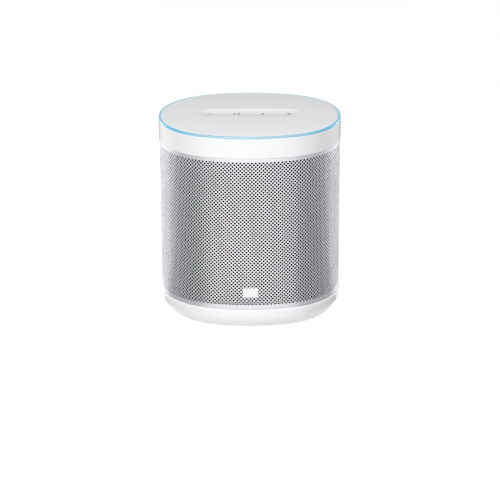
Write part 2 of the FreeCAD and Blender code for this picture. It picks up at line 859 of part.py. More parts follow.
def top_band():
    """The plain band and the deck inside it, in one moulding."""
    wall = oval_prism(0, band_foot, band_top)
    wall = wall.makeChamfer(edge_break, edges_at(wall, band_foot))
    wall = wall.cut(oval_prism(band_wall, deck_top, band_top + 1))
    lip_inset = sleeve_inset + sleeve_thickness + slip
    lip = oval_ring(lip_inset, lip_inset + lip_thickness, band_foot - lip_height, band_foot + deck_thickness)
    ledge_foot = led_board_foot - ledge_thickness
    ledge = oval_ring(band_wall / 2, band_wall + ledge_width, ledge_foot, led_board_foot)
    legs = [post(x, y, pillar_radius, lid_top, deck_top) for x, y in pillars]
    stands = [post(x, y, standoff_radius, band_foot, board_foot) for x, y in board_posts]
    led_stands = [post(x, y, standoff_radius, band_foot, led_board_foot) for x, y in led_posts()]
    band = joined([wall, lip, ledge] + legs + stands + led_stands)
    cuts = [post(x, y, screw_clear, lid_top - 1, deck_top + 1) for x, y in pillars]
    cuts += [post(x, y, screw_hole, board_foot - board_standoff - hole_spare, board_foot + 1)
             for x, y in board_posts]
    cuts += [post(x, y, screw_hole, led_board_foot - small_bite - hole_spare, led_board_foot + 1)
             for x, y in led_posts()]
    cuts.append(post(0, lead_y, grommet_radius + 1, band_foot - 1, deck_top + 1))
    x, y = power_riser()
    cuts.append(post(x, y, power_lead_radius + 1, band_foot - 1, deck_top + 1))
    return band.cut(cuts)


def deck_screws():
    length = deck_top - lid_foot + screw_bite
    return [screw(Vec(x, y, deck_top), UP * -1, screw_head, screw_head_height, length) for x, y in pillars]


def main_board():
    plate = oval_prism(board_inset, board_foot, board_top)
    holes = [post(x, y, screw_clear, board_foot - 1, board_top + 1) for x, y in board_posts]
    holes.append(post(0, lead_y, grommet_radius + 1, board_foot - 1, board_top + 1))
    return plate.cut(holes)


def board_screws():
    length = board_thickness + board_standoff
    return [screw(Vec(x, y, board_top), UP * -1, small_head, small_head_height, length)
            for x, y in board_posts]


def board_part(name):
    x, y, across, deep, tall = board_parts[name]
    return centred_block(x, y, across, deep, board_top, board_top + tall)


def processor_shield():
    can = board_part("processor_shield")
    upright = [edge for edge in can.Edges if edge.BoundBox.ZLength > 1]
    return can.makeFillet(shield_corner, upright)


def heat_sink():
    """Finned block that sits on the amplifier."""
    x, y, _, _, tall = board_parts["audio_amplifier"]
    foot = board_top + tall
    plate = centred_block(x, y, sink_width, sink_depth, foot, foot + sink_plate)
    step = (sink_width - sink_fin) / (sink_fins - 1)
    first = x - (sink_width - sink_fin) / 2
    fins = [centred_block(first + k * step, y, sink_fin, sink_depth, foot + sink_plate / 2,
                          foot + sink_height) for k in range(sink_fins)]
    return joined([plate] + fins)


def board_capacitors():
    top = board_top + capacitor_height
    return [post(x, y, capacitor_radius, board_top, top) for x, y in capacitor_spots]


def antennas():
    ring = oval_ring(band_wall, band_wall + antenna_thickness, deck_top, deck_top + antenna_height)
    half = antenna_length / 2
    sides = [block(-width, 0, -half, half, 0, height), block(0, width, -half, half, 0, height)]
    return [ring.common(side) for side in sides]


# ---- Light ring ----
def light_ring():
    """Lit head on the band, with a web under the cover's rim and a flange that takes the light in."""
    head = oval_prism(0, band_top, cover_rim)
    head = head.makeFillet(ring_rounding, edges_at(head, cover_rim))
    ring = joined([head, oval_prism(flange_inset, ring_foot, cover_seat)])
    cover_pocket = oval_prism(ring_width, cover_seat, cover_rim + 1)
    return ring.cut([cover_pocket, oval_prism(flange_inner, ring_foot - 1, cover_rim + 1)])


def led_board():
    plate = oval_ring(led_board_inset, led_board_inset + led_board_width, led_board_foot, led_board_top)
    cuts = [post(x, y, screw_clear, led_board_foot - 1, led_board_top + 1) for x, y in led_posts()]
    for k in range(clip_count):
        cuts.append(placed_block(k / clip_count, clip_inset - clip_gap, clip_thickness + 3 * clip_gap,
                                 clip_width + 1, led_board_foot - 1, led_board_top + 1))
    return plate.cut(cuts)


def leds():
    inset = (flange_inset + flange_inner - led_size) / 2
    top = led_board_top + led_height
    return [placed_block((k + 0.5) / led_count, inset, led_size, led_size, led_board_top, top)
            for k in range(led_count)]


def led_board_screws():
    length = led_board_thickness + small_bite
    return [screw(Vec(x, y, led_board_top), UP * -1, small_head, small_head_height, length)
            for x, y in led_posts()]


# ---- Top cover ----
def crown_z(inset):
    """Level of the cover's crowned face: an arc in section, level where it meets the flat middle."""
    border = crown_inset - cover_inset
    radius = (border**2 + crown_rise**2) / (2 * crown_rise)
    away = max(0.0, crown_inset - inset)
    return height - radius + math.sqrt(radius**2 - away**2)


def crowned_plate():
    """The cover's plate: the crown's section swept along each arc of the oval, round a flat middle."""
    insets = (cover_inset, (cover_inset + crown_inset) / 2, crown_inset)
    top = [(inset, crown_z(inset)) for inset in insets]
    under = [(inset, z - cover_wall) for inset, z in top]
    runs = [tuple(top), (top[2], under[2]), tuple(reversed(under)), (under[0], top[0])]
    swept = []
    for arc in outline_arcs():
        face = section_face(runs, lambda inset, z: on_arc(arc, arc[2], inset, z))
        swept.append(swept_face(face, arc))
    return swept + [oval_prism(crown_inset, height - cover_wall, height)]


def key_scoop():
    """Cutter for the scooped strip: a trough between two round ends."""
    radius = (scoop_half_width**2 + scoop_depth**2) / (2 * scoop_depth)
    reach = 1.5 * key_pitch
    centre_z = height + radius - scoop_depth
    trough = Part.makeCylinder(radius, 2 * reach, Vec(-reach, 0, centre_z), RIGHT)
    ends = [Part.makeSphere(radius, Vec(x, 0, centre_z)) for x in (-reach, reach)]
    zone = block(-reach - radius, reach + radius, -radius, radius, height - 2 * scoop_depth, height + 1)
    return trough.fuse(ends).common(zone)


def sensor_half_length():
    return 1.5 * key_pitch + scoop_half_width + sensor_seat_margin


def top_cover():
    """The crowned plate with its scooped key strip, sound holes, seats and snap clips."""
    half = sensor_half_length() + sensor_seat_margin
    half_deep = sensor_board_depth / 2 + sensor_seat_margin
    parts = crowned_plate()
    parts.append(block(-half, half, -half_deep, half_deep, sensor_seat, height - cover_wall))
    parts += [post(0, y, mic_seat_radius, mic_seat, height - cover_wall) for y in (-mic_y, mic_y)]
    hook_top = led_board_foot - ledge_thickness - slip
    hook_foot = hook_top - clip_nose_height
    for k in range(clip_count):
        share = k / clip_count
        parts.append(placed_block(share, clip_inset, clip_thickness, clip_width, hook_foot, cover_seat))
        parts.append(placed_block(share, clip_inset - clip_nose, clip_nose + clip_thickness, clip_width,
                                  hook_foot, hook_top))
    rebate = oval_ring(0, flange_inner + slip, led_board_top, cover_seat)
    holes = [post(0, y, mic_hole, mic_seat - 1, height + 1) for y in (-mic_y, mic_y)]
    return joined(parts).cut([rebate, key_scoop()] + holes)


def touch_board():
    foot = sensor_seat - sensor_board_thickness
    return centred_block(0, 0, 2 * sensor_half_length(), sensor_board_depth, foot, sensor_seat)


def mic_boot(y):
    ring = post(0, y, mic_boot_radius, mic_board_top, mic_seat)
    return ring.cut(post(0, y, mic_hole, mic_board_top - 1, mic_seat + 1))


def mic_board(y):
    """Board with its microphone underneath; the longer side points to the middle."""
    way = 1 if y > 0 else -1
    ends = sorted((y + way * mic_board_front, y - way * mic_board_rear))
    foot = mic_board_top - mic_board_thickness
    plate = block(-mic_board_width / 2, mic_board_width / 2, ends[0], ends[1], foot, mic_board_top)
    can = centred_block(0, y, mic_can, mic_can, foot - mic_can_height, foot)
    return joined([plate, can]).cut(post(0, y, mic_hole / 2, foot, mic_board_top + 1))


# ---- Leads and ribbons ----
def power_riser():
    """Where the power lead climbs between the box and the sleeve."""
    reach = flank_radius - power_lead_inset
    return power_lead_x, depth / 2 - flank_radius + math.sqrt(reach**2 - power_lead_x**2)


def lead_tube(points, radius, room):
    """A lead along straight runs, with a tangent arc at each turn as large as the runs and the room allow."""
    edges = []
    start = points[0]
    for before, corner, after in zip(points, points[1:], points[2:]):
        run_in, run_out = corner - before, after - corner
        half_turn = run_in.getAngle(run_out) / 2
        back_off = min(room, lead_bend_share * min(run_in.Length, run_out.Length))
        bend = back_off / math.tan(half_turn)
        arc_in = corner - run_in.normalize() * back_off
        arc_out = corner + run_out.normalize() * back_off
        toward = ((arc_in + arc_out) * 0.5 - corner).normalize()
        middle = corner + toward * (math.hypot(back_off, bend) - bend)
        edges.append(Part.LineSegment(start, arc_in).toShape())
        edges.append(Part.Arc(arc_in, middle, arc_out).toShape())
        start = arc_out
    edges.append(Part.LineSegment(start, points[-1]).toShape())
    way = (points[1] - points[0]).normalize()
    section = Part.Wire(Part.Circle(points[0], way, radius).toShape())
    path = Part.Wire(edges)
    tube = path.makePipeShell([section], True, True)
    print("lead", round(path.Length, 1), "mm, volume over section times length",
          round(tube.Volume / (math.pi * radius**2 * path.Length), 4))
    return tube


def speaker_lead():
    start_z = strip_foot + strip_height - speaker_lead_radius - lead_margin
    _, y, _, deep, tall = board_parts["speaker_connector"]
    top = board_top + tall / 2
    return lead_tube([Vec(0, terminal_back, start_z), Vec(0, lead_y, start_z), Vec(0, lead_y, top),
                      Vec(0, y - deep / 2, top)], speaker_lead_radius, speaker_lead_run)


def lead_grommet():
    ring = post(0, lead_y, grommet_radius, lid_foot, lid_top)
    return ring.cut(post(0, lead_y, speaker_lead_radius, lid_foot - 1, lid_top + 1))


def power_lead():
    x, y = power_riser()
    start_z = power_board_top + connector_height
    across = box_foot - power_lead_drop
    top = board_top + power_lead_radius + slip
    return lead_tube([Vec(x, connector_y, start_z), Vec(x, connector_y, across), Vec(x, y, across),
                      Vec(x, y, top), Vec(x, power_lead_end, top)], power_lead_radius, power_lead_drop)


def main_power_connector():
    return power_connector(power_lead_x, power_lead_end - connector_size / 2, board_top,
                           main_connector_height)


def ribbon(points, place, way):
    """A flat ribbon along (run, level) points of its underside."""
    over = [(run, level + ribbon_thickness) for run, level in reversed(points)]
    corners = [place(run, level) for run, level in list(points) + over]
    return Part.Face(Part.makePolygon(corners + corners[:1])).extrude(way * ribbon_width)


def touch_ribbon():
    x, y, _, _, tall = board_parts["touch_socket"]
    half = ribbon_thickness / 2
    return block(x - ribbon_width / 2, x + ribbon_width / 2, y - half, y + half,
                 board_top + tall, sensor_seat - sensor_board_thickness)


def ring_ribbon():
    x, y, across, _, tall = board_parts["ring_socket"]
    inner_edge = width / 2 - led_board_inset - led_board_width
    low, high = board_top + tall, led_board_foot - ribbon_thickness
    points = [(x - across / 2, low), (x + across / 2, low), (inner_edge - ribbon_lap / 2, high),
              (inner_edge + ribbon_lap, high)]
    return ribbon(points, lambda run, level: Vec(run, y - ribbon_width / 2, level), BACK)


def mic_ribbons():
    made = []
    low = mic_board_top
    high = sensor_seat - sensor_board_thickness - ribbon_thickness
    inner, outer = sensor_board_depth / 2, mic_y - mic_board_rear
    points = [(inner - 1.5 * ribbon_lap, high), (inner + ribbon_lap, high), (outer - ribbon_lap, low),
              (outer + ribbon_lap, low)]
    for way in (-1, 1):
        made.append(ribbon(points, lambda run, level: Vec(-ribbon_width / 2, way * run, level), RIGHT))
    return made


def nodes():
    return {
        "base_shell": base_shell(),
        "foot_pad": foot_pad(),
        "base_screws": base_screws(),
        "power_board": power_board(),
        "power_board_screws": power_board_screws(),
        "power_socket": power_socket(),
        "power_board_connector": power_connector(power_lead_x, connector_y, power_board_top,
                                                 connector_height),
        "power_lead": power_lead(),
        "grille": grille(),
        "badge_plate": badge_plate(),
        "speaker_box": speaker_box(),
        "lid_gasket": lid_gasket(),
        "box_lid": box_lid(),
        "lid_screws": lid_screws(),
        "damping_foam": damping_foam(),
        "driver_gasket": driver_gasket(),
        "driver_basket": driver_basket(),
        "driver_screws": driver_screws(),
        "surround": surround(),
        "cone": cone(),
        "dust_cap": dust_cap(),
        "spider": spider(),
        "voice_coil": voice_coil(),
        "front_plate": front_plate(),
        "magnet": magnet(),
        "yoke": yoke(),
        "driver_terminals": driver_terminals(),
        "speaker_lead": speaker_lead(),
        "lead_grommet": lead_grommet(),
        "top_band": top_band(),
        "deck_screws": deck_screws(),
        "main_board": main_board(),
        "board_screws": board_screws(),
        "processor_shield": processor_shield(),
        "wireless_module": board_part("wireless_module"),
        "audio_amplifier": board_part("audio_amplifier"),
        "heat_sink": heat_sink(),
        "board_capacitors": board_capacitors(),
        "speaker_connector": board_part("speaker_connector"),
        "main_power_connector": main_power_connector(),
        "ribbon_sockets": [board_part("touch_socket"), board_part("ring_socket")],
        "touch_ribbon": touch_ribbon(),
        "ring_ribbon": ring_ribbon(),
        "mic_ribbons": mic_ribbons(),
        "antennas": antennas(),
        "led_board": led_board(),
        "led_board_screws": led_board_screws(),
        "leds": leds(),
        "light_ring": light_ring(),
        "top_cover": top_cover(),
        "touch_board": touch_board(),
        "mic_boot_front": mic_boot(-mic_y),
        "mic_boot_rear": mic_boot(mic_y),
        "mic_board_front": mic_board(-mic_y),
        "mic_board_rear": mic_board(mic_y),
    }


def main():
    os.makedirs("parts", exist_ok=True)
    for name, made in nodes().items():
        shape = Part.makeCompound(made) if isinstance(made, list) else made
        print(name, len(shape.Solids), round(sum(s.Volume for s in shape.Solids)), shape.isValid())
        shape.exportStep(f"parts/{name}.step")


if __name__ == "__main__":
    main()
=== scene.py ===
import math

import bmesh
import bpy
from mathutils import Matrix, Vector


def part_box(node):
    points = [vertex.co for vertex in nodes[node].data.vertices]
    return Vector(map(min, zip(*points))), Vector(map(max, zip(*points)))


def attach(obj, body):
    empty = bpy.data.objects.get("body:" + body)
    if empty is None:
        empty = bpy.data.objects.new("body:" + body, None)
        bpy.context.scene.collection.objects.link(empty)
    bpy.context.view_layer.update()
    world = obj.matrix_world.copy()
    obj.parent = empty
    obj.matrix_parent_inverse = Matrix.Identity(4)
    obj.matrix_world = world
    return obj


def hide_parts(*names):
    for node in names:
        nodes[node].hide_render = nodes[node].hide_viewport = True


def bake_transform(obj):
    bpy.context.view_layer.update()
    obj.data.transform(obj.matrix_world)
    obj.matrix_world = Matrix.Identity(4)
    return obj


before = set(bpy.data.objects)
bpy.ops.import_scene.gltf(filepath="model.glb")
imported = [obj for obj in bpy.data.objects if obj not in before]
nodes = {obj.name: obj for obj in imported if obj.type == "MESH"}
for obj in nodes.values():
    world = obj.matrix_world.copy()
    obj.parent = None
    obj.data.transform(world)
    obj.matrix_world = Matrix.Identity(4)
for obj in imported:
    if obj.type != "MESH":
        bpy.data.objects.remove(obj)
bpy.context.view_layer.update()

mm = 0.001

# plan of the body: an oval of eight tangent arcs, given by its overall size and three radii, in millimetres
ovalSizes = {"width": 131.0, "depth": 104.0, "end": 110.0, "flank": 108.0, "corner": 47.0, "steps": 1440}


def cornerCentre():
    # where the corner arc touches both its neighbours
    endX = ovalSizes["width"] / 2 - ovalSizes["end"]
    flankY = ovalSizes["depth"] / 2 - ovalSizes["flank"]
    reachEnd = ovalSizes["end"] - ovalSizes["corner"]
    reachFlank = ovalSizes["flank"] - ovalSizes["corner"]
    apart = math.hypot(endX, flankY)
    along = (reachEnd ** 2 - reachFlank ** 2 + apart ** 2) / (2 * apart)
    aside = math.sqrt(reachEnd ** 2 - along ** 2)
    ux, uy = -endX / apart, flankY / apart
    return endX + along * ux - aside * uy, along * uy + aside * ux


def ovalArcs():
    # centre, radius, first and last angle of each arc, from the right-hand end round by the back
    endX = ovalSizes["width"] / 2 - ovalSizes["end"]
    flankY = ovalSizes["depth"] / 2 - ovalSizes["flank"]
    cx, cy = cornerCentre()
    a = math.atan2(cy, cx - endX)
    b = math.atan2(cy - flankY, cx)
    end, flank, corner, pi = ovalSizes["end"], ovalSizes["flank"], ovalSizes["corner"], math.pi
    return [
        (endX, 0, end, -a, a), (cx, cy, corner, a, b), (0, flankY, flank, b, pi - b),
        (-cx, cy, corner, pi - b, pi - a), (-endX, 0, end, pi - a, pi + a), (-cx, -cy, corner, pi + a, pi + b),
        (0, -flankY, flank, pi + b, 2 * pi - b), (cx, -cy, corner, 2 * pi - b, 2 * pi - a),
    ]


arcs = ovalArcs()
arcLengths = [arc[2] * (arc[4] - arc[3]) for arc in arcs]
ovalLength = sum(arcLengths)


def ovalPoint(share, inset=0.0):
    # point and outward direction at a share of the way round from the middle of the back
    walk = (arcLengths[0] + arcLengths[1] + arcLengths[2] / 2 + share * ovalLength) % ovalLength
    for (cx, cy, radius, start, _), length in zip(arcs, arcLengths):
        if walk <= length:
            break
        walk -= length
    angle = start + walk / radius
    nx, ny = math.cos(angle), math.sin(angle)
    return cx + (radius - inset) * nx, cy + (radius - inset) * ny, nx, ny


def insetAt(x, y):
    # distance in from the outline, in millimetres
    x, y = abs(x), abs(y)
    cx, cy, corner, low, high = arcs[1]
    angle = math.atan2(y - cy, x - cx)
    if low <= angle <= high:
        return corner - math.hypot(x - cx, y - cy)
    if angle < low:
        return arcs[0][2] - math.hypot(x - arcs[0][0], y)
    return arcs[2][2] - math.hypot(x, y - arcs[2][1])


print("stage: outline,", round(ovalLength), "mm round")


def joinNode(tree, kind, wires, **settings):
    # a node with its inputs wired or set
    made = tree.nodes.new(kind)
    for key, value in settings.items():
        setattr(made, key, value)
    for name, source in wires.items():
        if isinstance(source, bpy.types.NodeSocket):
            tree.links.new(source, made.inputs[name])
        else:
            made.inputs[name].default_value = source
    return made


finishSizes = {"fineDetail": 4.0, "fineRoughness": 0.6, "broadScale": 60.0, "broadDetail": 3.0,
               "ramp": (0.3, 0.7), "bump": 0.1, "roughSpread": 0.05, "coatRough": 0.1}


def makeFinish(name, colour, rough, grain, depth, mottle, metal=0.0, coat=0.0, stretch=(1, 1, 1), specular=0.5):
    # a fine grain in millimetres with its relief, and a broad mottle in brightness
    s = finishSizes
    finish = bpy.data.materials.new(name)
    finish.use_nodes = True
    tree = finish.node_tree
    shader = tree.nodes["Principled BSDF"]
    shader.inputs["Metallic"].default_value = metal
    shader.inputs["Coat Weight"].default_value = coat
    shader.inputs["Coat Roughness"].default_value = s["coatRough"]
    shader.inputs["Specular IOR Level"].default_value = specular
    place = joinNode(tree, "ShaderNodeTexCoord", {})
    spread = joinNode(tree, "ShaderNodeMapping", {"Vector": place.outputs["Object"], "Scale": stretch})
    fine = joinNode(tree, "ShaderNodeTexNoise", {"Vector": spread.outputs[0], "Scale": 1 / (grain * mm),
                                                 "Detail": s["fineDetail"], "Roughness": s["fineRoughness"]})
    broad = joinNode(tree, "ShaderNodeTexNoise", {"Vector": spread.outputs[0], "Scale": s["broadScale"],
                                                  "Detail": s["broadDetail"]})
    dark = [c * (1 - mottle) for c in colour] + [1]
    light = [min(1, c * (1 + mottle)) for c in colour] + [1]
    ramp = joinNode(tree, "ShaderNodeValToRGB", {"Fac": broad.outputs["Fac"]})
    for stop, where, shade in zip(ramp.color_ramp.elements, s["ramp"], (dark, light)):
        stop.position, stop.color = where, shade
    tree.links.new(ramp.outputs["Color"], shader.inputs["Base Color"])
    level = joinNode(tree, "ShaderNodeMapRange", {"Value": fine.outputs["Fac"],
                                                  "To Min": rough - s["roughSpread"],
                                                  "To Max": rough + s["roughSpread"]})
    tree.links.new(level.outputs["Result"], shader.inputs["Roughness"])
    bump = joinNode(tree, "ShaderNodeBump", {"Height": fine.outputs["Fac"], "Strength": depth,
                                             "Distance": s["bump"] * mm})
    tree.links.new(bump.outputs["Normal"], shader.inputs["Normal"])
    return finish


finishes = {
    "white_plastic": makeFinish("whitePlastic", (0.82, 0.82, 0.83), 0.34, grain=0.35, depth=0.04,
                                mottle=0.008, coat=0.25),
    "cover_plastic": makeFinish("coverPlastic", (0.845, 0.845, 0.86), 0.6, grain=0.25, depth=0.06,
                                mottle=0.008, specular=0.2),
    "grey_rubber": makeFinish("footRubber", (0.3, 0.3, 0.31), 0.75, grain=0.4, depth=0.25, mottle=0.06),
    "white_metal": makeFinish("sleeveCoat", (0.725, 0.73, 0.76), 0.38, metal=0.55, grain=0.2, depth=0.06,
                              mottle=0.01),
    "badge_metal": makeFinish("badgePlate", (0.8, 0.8, 0.81), 0.3, metal=0.7, grain=0.25, depth=0.03,
                              mottle=0.02, stretch=(1, 1, 12)),
    "black_plastic": makeFinish("blackMoulding", (0.012, 0.012, 0.013), 0.5, grain=0.4, depth=0.1,
                                mottle=0.1),
    "black_foam": makeFinish("foam", (0.015, 0.015, 0.015), 0.95, grain=0.6, depth=0.9, mottle=0.3),
    "black_steel": makeFinish("blackSteel", (0.015, 0.015, 0.016), 0.4, metal=0.3, grain=0.3, depth=0.08,
                              mottle=0.1),
    "zinc_steel": makeFinish("zincSteel", (0.6, 0.6, 0.58), 0.35, metal=1.0, grain=0.3, depth=0.08,
                             mottle=0.06),
    "black_rubber": makeFinish("rollRubber", (0.01, 0.01, 0.01), 0.6, grain=0.3, depth=0.1, mottle=0.1),
    "cone_paper": makeFinish("conePaper", (0.02, 0.02, 0.021), 0.8, grain=0.5, depth=0.4, mottle=0.2),
    "spider_cloth": makeFinish("spiderCloth", (0.35, 0.22, 0.07), 0.9, grain=0.5, depth=0.6, mottle=0.15),
    "copper": makeFinish("copperWire", (0.7, 0.3, 0.15), 0.3, metal=1.0, grain=0.2, depth=0.2, mottle=0.08,
                         stretch=(1, 8, 1)),
    "ferrite": makeFinish("ferrite", (0.03, 0.03, 0.03), 0.6, grain=0.3, depth=0.2, mottle=0.2),
    "terminal_strip": makeFinish("terminalStrip", (0.2, 0.1, 0.04), 0.55, grain=0.4, depth=0.1, mottle=0.15),
    "black_sleeving": makeFinish("sleeving", (0.012, 0.012, 0.012), 0.45, grain=0.4, depth=0.1, mottle=0.1),
    "cream_plastic": makeFinish("creamPlastic", (0.75, 0.7, 0.55), 0.45, grain=0.4, depth=0.05, mottle=0.04),
    "board_green": makeFinish("greenBoard", (0.01, 0.12, 0.04), 0.35, grain=0.8, depth=0.1, mottle=0.2),
    "board_white": makeFinish("whiteBoard", (0.7, 0.7, 0.68), 0.4, grain=0.8, depth=0.1, mottle=0.04),
    "shield_metal": makeFinish("shieldCan", (0.6, 0.6, 0.6), 0.35, metal=1.0, grain=0.4, depth=0.05,
                               mottle=0.05),
    "chip_black": makeFinish("chipBlack", (0.015, 0.015, 0.016), 0.5, grain=0.2, depth=0.1, mottle=0.1),
    "sink_aluminium": makeFinish("sinkAluminium", (0.65, 0.65, 0.67), 0.4, metal=1.0, grain=0.3, depth=0.1,
                                 mottle=0.05, stretch=(1, 8, 1)),
    "capacitor_can": makeFinish("capacitorCan", (0.5, 0.5, 0.52), 0.3, metal=0.9, grain=0.3, depth=0.05,
                                mottle=0.05),
    "ribbon_film": makeFinish("ribbonFilm", (0.3, 0.14, 0.03), 0.35, grain=0.5, depth=0.05, mottle=0.1),
    "led_lens": makeFinish("lampLens", (0.8, 0.85, 0.9), 0.2, grain=0.3, depth=0.05, mottle=0.03),
}

# the pale colour and its share mix a painted glow and a painted highlight into both edges of the ring's section
ringLook = {"front": (0.28, 0.46, 0.55), "side": (0.065, 0.4, 0.62), "back": (0.26, 0.47, 0.54),
            "pale": (0.74, 0.9, 0.94), "line": (0.2, 0.9, 3.0, 3.6), "paintedGlow": 0.9, "glow": 0.12,
            "sideFade": (0.035, 0.06), "backFade": (-0.01, 0.045)}


def makeRingFinish():
    # the ring glows unevenly: a deeper blue at its two ends, paler in front and behind
    finish = makeFinish("lightRing", (0.55, 0.82, 0.92), 0.3, grain=0.4, depth=0.03, mottle=0.02, coat=0.3)
    tree = finish.node_tree
    shader = tree.nodes["Principled BSDF"]
    place = tree.nodes["Texture Coordinate"]
    apart = joinNode(tree, "ShaderNodeSeparateXYZ", {"Vector": place.outputs["Object"]})
    side = joinNode(tree, "ShaderNodeMath", {0: apart.outputs["X"]}, operation="ABSOLUTE")
    toSide = joinNode(tree, "ShaderNodeMapRange", {"Value": side.outputs[0],
                                                   "From Min": ringLook["sideFade"][0],
                                                   "From Max": ringLook["sideFade"][1]})
    toBack = joinNode(tree, "ShaderNodeMapRange", {"Value": apart.outputs["Y"],
                                                   "From Min": ringLook["backFade"][0],
                                                   "From Max": ringLook["backFade"][1]})
    first = joinNode(tree, "ShaderNodeMix", {"Factor": toSide.outputs[0]}, data_type="RGBA")
    first.inputs[6].default_value = (*ringLook["front"], 1)
    first.inputs[7].default_value = (*ringLook["side"], 1)
    second = joinNode(tree, "ShaderNodeMix", {"Factor": toBack.outputs[0]}, data_type="RGBA")
    tree.links.new(first.outputs[2], second.inputs[6])
    second.inputs[7].default_value = (*ringLook["back"], 1)
    # the middle of its section is the blue line, and both edges are painted pale: a painted glow along the foot
    # of its face and a painted highlight on its top flat
    across = joinNode(tree, "ShaderNodeAttribute", {}, attribute_name="across").outputs["Fac"]
    inner = joinNode(tree, "ShaderNodeMapRange", {"Value": across, "From Min": ringLook["line"][1],
                                                  "From Max": ringLook["line"][0]})
    outer = joinNode(tree, "ShaderNodeMapRange", {"Value": across, "From Min": ringLook["line"][2],
                                                  "From Max": ringLook["line"][3]})
    flat = joinNode(tree, "ShaderNodeMath", {0: inner.outputs[0], 1: outer.outputs[0]}, operation="MAXIMUM")
    paintedGlow = joinNode(tree, "ShaderNodeMath", {0: flat.outputs[0], 1: ringLook["paintedGlow"]}, operation="MULTIPLY")
    third = joinNode(tree, "ShaderNodeMix", {"Factor": paintedGlow.outputs[0]}, data_type="RGBA")
    tree.links.new(second.outputs[2], third.inputs[6])
    third.inputs[7].default_value = (*ringLook["pale"], 1)
    tree.links.new(third.outputs[2], shader.inputs["Base Color"])
    tree.links.new(third.outputs[2], shader.inputs["Emission Color"])
    shader.inputs["Emission Strength"].default_value = ringLook["glow"]
    return finish


finishes["ring_diffuser"] = makeRingFinish()
iconInk = makeFinish("iconInk", (0.32, 0.32, 0.33), 0.6, grain=0.3, depth=0.02, mottle=0.03)

slotOf = {}  # the material slot of each node
for name, piece in nodes.items():
    held = [s.material.name.split(".")[0] for s in piece.material_slots if s.material]
    slotOf[name] = next((h for h in held if h in finishes), "black_plastic")
    for s in piece.material_slots:
        s.material = finishes[slotOf[name]]
print("stage: finishes on", len(nodes), "nodes")


def addThing(name, data):
    # an object in the scene, at the origin
    piece = bpy.data.objects.new(name, data)
    bpy.context.scene.collection.objects.link(piece)
    return piece


def toMesh(work, name):
    # a finished mesh; the work is used up
    mesh = bpy.data.meshes.new(name)
    work.to_mesh(mesh)
    work.free()
    return mesh


creaseAngles = {"shell": 32, "ring": 32, "sleeve": 35, "cover": 40, "driver": 40}  # degrees
weldGaps = {"shell": 1e-6, "cover": 1e-7}  # metres


def smoothCopy(node):
    # a node's own shape, welded, with its faces smooth up to the creases
    crease = math.radians(creaseAngles["shell"])
    mesh = nodes[node].data.copy()
    mesh.name = node + "Smooth"
    work = bmesh.new()
    work.from_mesh(mesh)
    bmesh.ops.remove_doubles(work, verts=work.verts, dist=weldGaps["shell"])
    for face in work.faces:
        face.smooth = True
    for edge in work.edges:
        edge.smooth = len(edge.link_faces) == 2 and edge.calc_face_angle(0.0) < crease
    work.to_mesh(mesh)
    work.free()
    piece = addThing(node + "Smooth", mesh)
    piece.modifiers.new("even", "WEIGHTED_NORMAL").keep_sharp = True
    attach(piece, "housing")
    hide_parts(node)


for node in ("base_shell", "top_band", "foot_pad", "badge_plate"):
    smoothCopy(node)
print("stage: smooth shells")

ringSizes = {"high": 1.9, "wide": 2.2, "rounding": 0.9, "web": 0.6, "flangeInset": 2.5, "flange": 1.9,
             "steps": 10, "around": 360}


def makeRing():
    # the ring's section swept round the oval; "across" is the way along it from its inner edge, in millimetres
    s = ringSizes
    foot, top = (c.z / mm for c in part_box("light_ring"))
    side = top - s["high"]
    turns = [math.pi / 2 * k / s["steps"] for k in range(s["steps"] + 1)]
    r = s["rounding"]
    section = [(s["wide"], top)] + [(r - r * math.sin(a), top - r + r * math.cos(a)) for a in turns]
    near, far = s["flangeInset"], s["flangeInset"] + s["flange"]
    section += [(0, side), (near, side), (near, foot), (far, foot), (far, side + s["web"]),
                (s["wide"], side + s["web"])]
    walked = [0.0]
    for a, b in zip(section, section[1:]):
        walked.append(walked[-1] + math.dist(a, b))
    work = bmesh.new()
    across = work.verts.layers.float.new("across")
    loops = []
    for k in range(s["around"]):
        loop = []
        for (inset, z), way in zip(section, walked):
            x, y, _, _ = ovalPoint(k / s["around"], inset)
            loop.append(work.verts.new((x * mm, y * mm, z * mm)))
            loop[-1][across] = way
        loops.append(loop)
    for a, b in zip(loops, loops[1:] + loops[:1]):
        for i in range(len(section)):
            n = (i + 1) % len(section)
            work.faces.new((a[i], a[n], b[n], b[i])).smooth = True
    bmesh.ops.recalc_face_normals(work, faces=work.faces)
    for edge in work.edges:
        edge.smooth = edge.calc_face_angle(0.0) < math.radians(creaseAngles["ring"])
    mesh = toMesh(work, "ring")
    mesh.materials.append(finishes["ring_diffuser"])
    piece = addThing("ring", mesh)
    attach(piece, "housing")
    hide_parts("light_ring")


makeRing()
print("stage: ring")

sleeveSizes = {
    "holeDiameter": 1.6, "pitch": 2.7, "thickness": 0.5, "inset": 0.5, "footGap": 0.3, "hemBottom": 2.8,
    "hemTop": 2.0, "seamGap": 0.25, "seamMargin": 0.8, "weld": 0.004,
    "sideSteps": 3,  # edges of a hole that face one side of its tile
    "tileSlack": 0.01, "walkSlack": 0.001,  # added before rounding down, so that whole numbers stay whole
    "bands": (0, 26, 54, 84, 112, 138),  # columns at which one length of the sleeve ends and the next begins
}


def makeOutlineCurve():
    # the oval as a closed line that the sheet is wrapped round
    data = bpy.data.curves.new("outline", "CURVE")
    data.dimensions = "3D"
    line = data.splines.new("POLY")
    steps = ovalSizes["steps"]
    line.points.add(steps - 1)
    for k in range(steps):
        x, y, _, _ = ovalPoint(k / steps)
        line.points[k].co = (x * mm, y * mm, 0, 1)
    line.use_cyclic_u = True
    return addThing("outline", data)


